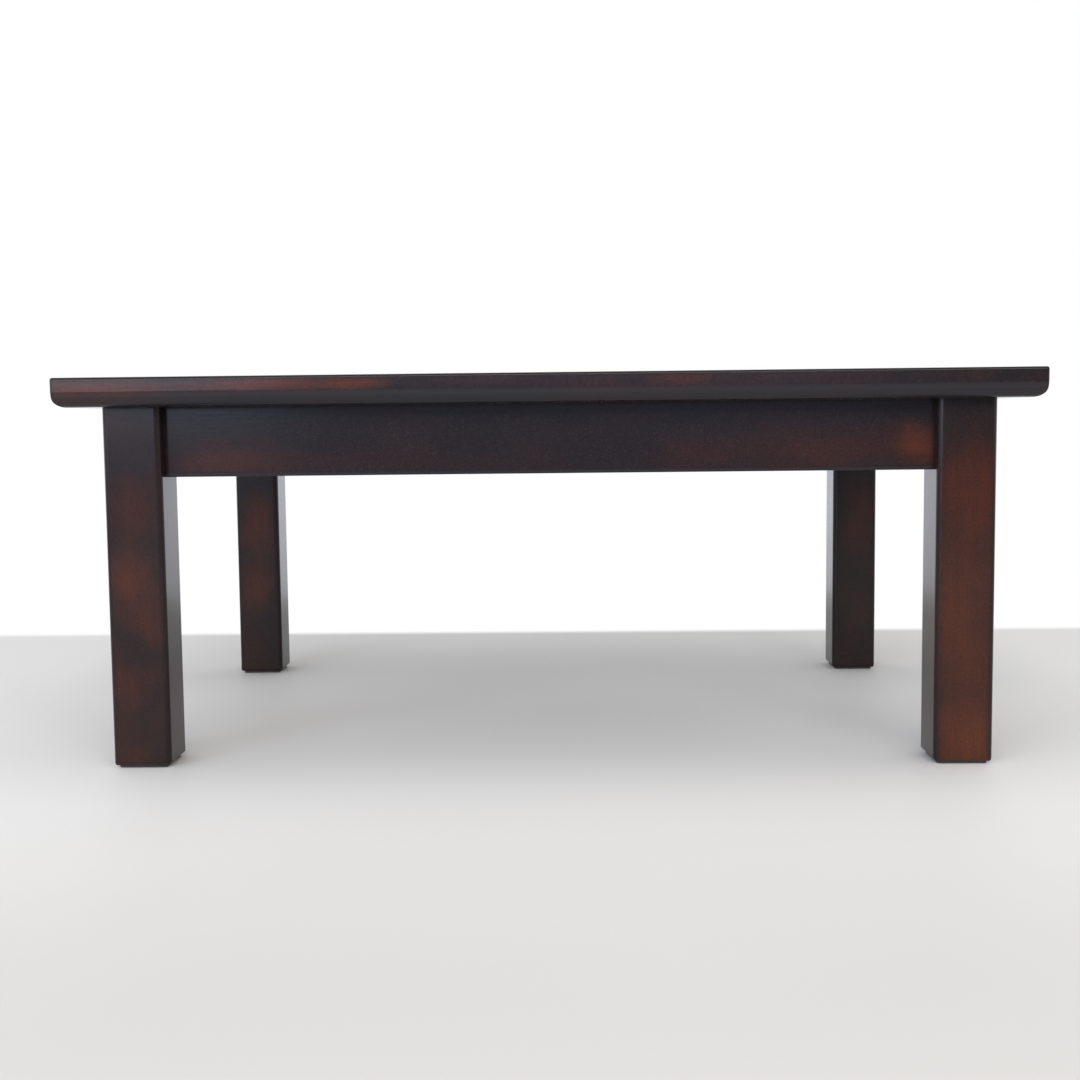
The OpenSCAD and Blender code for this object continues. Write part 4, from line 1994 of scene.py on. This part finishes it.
@dataclass(frozen=True)
class Stage:
    """Pale floor with painted light and shade round the table, soft lights, white surroundings and the
    camera.

    Attributes:
        floor_size: Half the width of the floor.
        floor_back: How far it runs behind the table.
        floor: The floor's colour.
        painted_lit_floor: Its colour where the table stands, painted lighter so that the table's shadow is
            lifted.
        near: Depth range in front of the table in which that painted light comes up.
        painted_shade: Depth range in which painted shade darkens the floor behind the table back towards the
            first colour.
        painted_shade_sides: The same at the sides, by the distance from the middle.
        clouds: How much the two colours mix unevenly.
        painted_shade_strength: How strong the painted shade is.
        fade: Depth range behind the table in which the floor turns white for the eye.
        gloss_fade: The same for what glossy surfaces show.
        front: Colour of the surroundings straight in front of the table.
        glows: Colours that take over from it, each over those before it.
        behind: Range from front to back, turned a little, in which the surroundings behind take over.
        behind_turn: That turn, as the share of X that is taken off Y.
        behind_high: Their colour high up.
        behind_level: Their colour at the level of the table.
        level: Range of heights from the one to the other.
        lamps: The lamps.
        lens: The camera's focal length in millimetres.
        sensor: The width of its sensor in millimetres.
        camera_place: Its place.
        camera_turn: Its turns in degrees.
    """

    floor_size: float = 9.0
    floor_back: float = 1.2
    floor: Point = (0.56, 0.545, 0.515)
    painted_lit_floor: Point = (0.76, 0.745, 0.715)
    near: Flat = (-1.0, -0.35)
    painted_shade: Flat = (-0.05, 0.35)
    painted_shade_sides: Flat = (0.8, 0.5)
    clouds: float = 0.15
    painted_shade_strength: float = 0.55
    fade: Flat = (0.61, 0.66)
    gloss_fade: Flat = (0.75, 1.4)
    front: Point = (0.52, 0.68, 1.00)
    glows: tuple[Glow, ...] = (
        Glow(0, 0.19, 0.29, (0.33, 0.31, 0.34)),
        Glow(0, -0.25, -0.52, (1.70, 1.90, 2.50)),
        Glow(0, 0.50, 0.65, (0.95, 0.88, 1.00)),
        Glow(2, 0.05, 0.6, (0.56, 0.58, 0.62)),
    )
    behind: Flat = (-0.6, 0.1)
    behind_turn: float = 0.2
    behind_high: Point = (0.84, 0.85, 0.87)
    behind_level: Point = (1.56, 1.60, 1.74)
    level: Flat = (0.175, 0.045)
    lamps: tuple[Lamp, ...] = (
        Lamp("overhead softbox", (0.0, -0.45, 2.5), (0, -0.45, 0), (3.0, 0.9), 6.0, (1.0, 0.98, 0.95)),
        Lamp("front softbox", (0.5, -3.2, 1.50), (0, 0, 0.2), (3.0, 1.1), 68.0, (1.0, 0.95, 0.87)),
        Lamp("left softbox", (-2.0, -3.4, 1.20), (-0.3, -0.3, 0.35), (2.2, 1.5), 60.0, (0.75, 0.83, 1.0)),
        Lamp("low softbox", (0.1, -3.5, 1.20), (0.1, 0, 0.4), (1.9, 1.4), 5.0, (0.70, 0.68, 1.0)),
    )
    lens: float = 45.964
    sensor: float = 36.0
    camera_place: Point = (0.02583, -1.73394, 0.35690)
    camera_turn: Point = (85.2513, 0.6198, 1.3094)

    def _floor(self) -> None:
        """Lays the floor."""
        half, back = self.floor_size, self.floor_back
        ground = Mesh([(-half, -half, 0), (half, -half, 0), (half, back, 0), (-half, back, 0)],
                      [(0, 1, 2, 3)]).piece("pale_floor")
        s = Skin("pale floor")
        across, depth, _ = s.axes(s.place)
        # Painted light: the floor is lighter near the table than further in front, which lifts the table's
        # shadow
        near = s.line(s.noise(s.place, 2.2, 3.0), self.clouds, s.span(depth, *self.near))
        # Painted shade: the floor behind the middle of the table is darkened
        painted_shade = s.times(s.span(depth, *self.painted_shade), s.span(s.math("ABSOLUTE", across), *self.painted_shade_sides))
        near = s.line(painted_shade, -self.painted_shade_strength, near)
        material = s.dress(Base_Color=s.blend(near, self.floor, self.painted_lit_floor), Roughness=0.6,
                           Specular_IOR_Level=0.25)
        light = s.add("ShaderNodeLightPath").outputs
        white = s.times(s.span(depth, *self.fade), light["Is Camera Ray"])
        for ray in ("Is Glossy Ray", "Is Transmission Ray"):
            white = s.line(s.span(depth, *self.gloss_fade), light[ray], white, clamp=True)
        glow = s.use("ShaderNodeEmission", 0, {"Color": (1, 1, 1, 1), "Strength": 1.0})
        lit = s.tree.nodes["Principled BSDF"].outputs[0]
        s.fill(s.tree.nodes["Material Output"],
               {"Surface": s.use("ShaderNodeMixShader", 0, {0: white, 1: lit, 2: glow})})
        ground.data.materials.append(material)

    def _world(self) -> None:
        """Sets the surroundings: white for the eye, and for gloss what each side shows."""
        world = bpy.data.worlds.new("studio")
        bpy.context.scene.world = world
        world.use_nodes = True
        s = Nodes(world.node_tree)
        way = s.axes(s.use("ShaderNodeTexCoord", "Generated", {}))
        around: Any = self.front
        for glow in self.glows:
            around = s.blend(s.span(way[glow.axis], glow.start, glow.full), around, glow.colour)
        level = s.span(s.math("ABSOLUTE", way[2]), *self.level)
        behind = s.span(s.line(way[0], -self.behind_turn, way[1]), *self.behind)
        around = s.blend(behind, around, s.blend(level, self.behind_high, self.behind_level))
        shown = s.blend(s.add("ShaderNodeLightPath").outputs["Is Camera Ray"], around, (1, 1, 1))
        s.fill(world.node_tree.nodes["Background"], {"Color": shown, "Strength": 1.0})

    def _camera(self) -> None:
        """Sets the camera low in front of the table."""
        data = bpy.data.cameras.new("camera")
        data.lens = self.lens
        data.sensor_width = self.sensor
        data.sensor_fit = "HORIZONTAL"
        camera = new_object("camera", data)
        camera.location = self.camera_place
        camera.rotation_euler = [math.radians(a) for a in self.camera_turn]
        bpy.context.scene.camera = camera

    def build(self) -> None:
        """Makes the whole stage."""
        bpy.context.scene.view_settings.view_transform = "Standard"
        self._camera()
        self._floor()
        self._world()
        for lamp in self.lamps:
            lamp.hang()
        LOG.info("stage: floor, world, %d lamps and the camera", len(self.lamps))


# The table's own patches of thin toner, in metres: middle, half size, strength, warmth

TOP_PATCHES = (
    Patch((-0.45, -0.35, 0.398), (0.13, 0.05, 0.022), 0.34, 0.2),
    Patch((-0.28, -0.35, 0.402), (0.13, 0.05, 0.013), 0.47, 0.1),
    Patch((-0.185, -0.35, 0.402), (0.050, 0.05, 0.010), 0.24, 0.4),
    Patch((-0.08, -0.35, 0.403), (0.10, 0.05, 0.013), 0.08, 0.1),
    Patch((0.13, -0.35, 0.403), (0.055, 0.05, 0.012), 0.19, 0.2),
    Patch((0.25, -0.35, 0.403), (0.16, 0.05, 0.012), 0.05, 0.0),
)
LEG_PATCHES = (
    Patch((-0.433, -0.311, 0.275), (0.040, 0.03, 0.055), 0.19, 0.0),
    Patch((-0.437, -0.311, 0.200), (0.046, 0.03, 0.060), 0.37, 0.1),
    Patch((-0.419, -0.311, 0.150), (0.026, 0.03, 0.034), 0.22, 0.1),
    Patch((-0.436, -0.311, 0.092), (0.044, 0.03, 0.028), 0.17, 0.1),
    Patch((-0.440, -0.311, 0.015), (0.036, 0.03, 0.024), 0.09, 0.2),
    Patch((0.436, -0.311, 0.29), (0.085, 0.03, 0.075), 0.33, 0.0),
    Patch((0.418, -0.311, 0.19), (0.085, 0.03, 0.100), 0.28, 0.3),
    Patch((0.426, -0.311, 0.10), (0.085, 0.03, 0.110), 0.28, 0.4),
    Patch((0.436, -0.311, 0.02), (0.085, 0.03, 0.060), 0.31, 0.5),
    Patch((-0.431, 0.250, 0.22), (0.040, 0.03, 0.070), 0.36, 0.1),
    Patch((-0.432, 0.250, 0.13), (0.036, 0.03, 0.060), 0.30, 0.2),
    Patch((0.434, 0.250, 0.21), (0.036, 0.03, 0.085), 0.20, 0.1),
)
APRON_PATCHES = (
    Patch((-0.335, -0.295, 0.322), (0.110, 0.03, 0.038), 0.18, 0.2),
    Patch((-0.16, -0.295, 0.320), (0.140, 0.03, 0.034), 0.07, 0.2),
    Patch((0.155, -0.295, 0.326), (0.080, 0.03, 0.038), 0.11, 0.2),
    Patch((0.29, -0.295, 0.327), (0.140, 0.03, 0.044), 0.17, 0.3),
    Patch((0.378, -0.295, 0.340), (0.042, 0.03, 0.032), 0.31, 0.1),
    Patch((0.392, -0.295, 0.325), (0.044, 0.03, 0.040), 0.20, 0.1),
)


def main() -> None:
    """Builds the stage and the table, each sub-assembly in its turn."""
    plan = Plan()
    shared = SharedEffects()
    Stage().build()
    mid_z = plan.under_z - plan.apron_h / 2
    half_apron = (plan.apron_t / 2, plan.apron_h / 2)
    # The toner's dark strips leave out ends that meet another piece, and the aprons carry a painted
    # reflection of the floor up to this height above their lower edge
    hidden, painted_reflection_h = 20 * MM, 4 * MM
    apron_painted_reflection_top = mid_z - plan.apron_h / 2 + painted_reflection_h
    # The top's rim carries the painted reflection of the floor below its crease
    top_wood = StainedWood(
        "stained top boards", Grain.ALONG_X, centre=(0, 0, plan.table_h - plan.top_t / 2),
        half_size=(plan.top_w / 2, plan.top_d / 2, plan.top_t / 2), patches=TOP_PATCHES,
        toned=(0.0112, 0.0082, 0.0090), painted_reflection_below=plan.under_z + Tabletop.under_drop,
        edge_reach=0.006, drift=(0.035, 0.0, 0.006)).material(shared)
    leg_wood = StainedWood(
        "stained legs", Grain.ALONG_Z, centre=(plan.leg_x, plan.leg_y, (plan.under_z + plan.pad_t) / 2),
        half_size=(plan.leg_w / 2, plan.leg_w / 2, plan.under_z / 2 + hidden), patches=LEG_PATCHES,
        toned=(0.0130, 0.0075, 0.0072)).material(shared)
    long_wood = StainedWood(
        "stained long aprons", Grain.ALONG_X, centre=(0, plan.leg_y, mid_z),
        half_size=(plan.run(SIDES[0]) + hidden, *half_apron), patches=APRON_PATCHES,
        painted_reflection_below=apron_painted_reflection_top, edge_reach=0.007, clouds=0.06, ground=0.01).material(shared)
    side_wood = StainedWood(
        "stained side aprons and rail", Grain.ALONG_Y, centre=(plan.leg_x, 0, mid_z),
        half_size=(half_apron[0], plan.run(SIDES[2]) + hidden, half_apron[1]),
        painted_reflection_below=apron_painted_reflection_top, edge_reach=0.007).material(shared)
    bare_wood = BareWood().material(shared)
    copies = Copies(plan, copy_tree())
    Tabletop(plan, top_wood, Plywood().material(shared)).build()
    Legs(plan, leg_wood, copies).build()
    FootPads(plan, Felt().material()).build()
    Aprons(plan, long_wood, copies, side_wood).build()
    CrossRail(plan, side_wood).build()
    CornerBlocks(plan, bare_wood, copies).build()
    Buttons(plan, bare_wood, copies).build()
    Screws(plan, ZincPlate().material()).build()


if __name__ == "__main__":
    logging.basicConfig(level=logging.INFO, format="%(name)s: %(message)s")
    main()
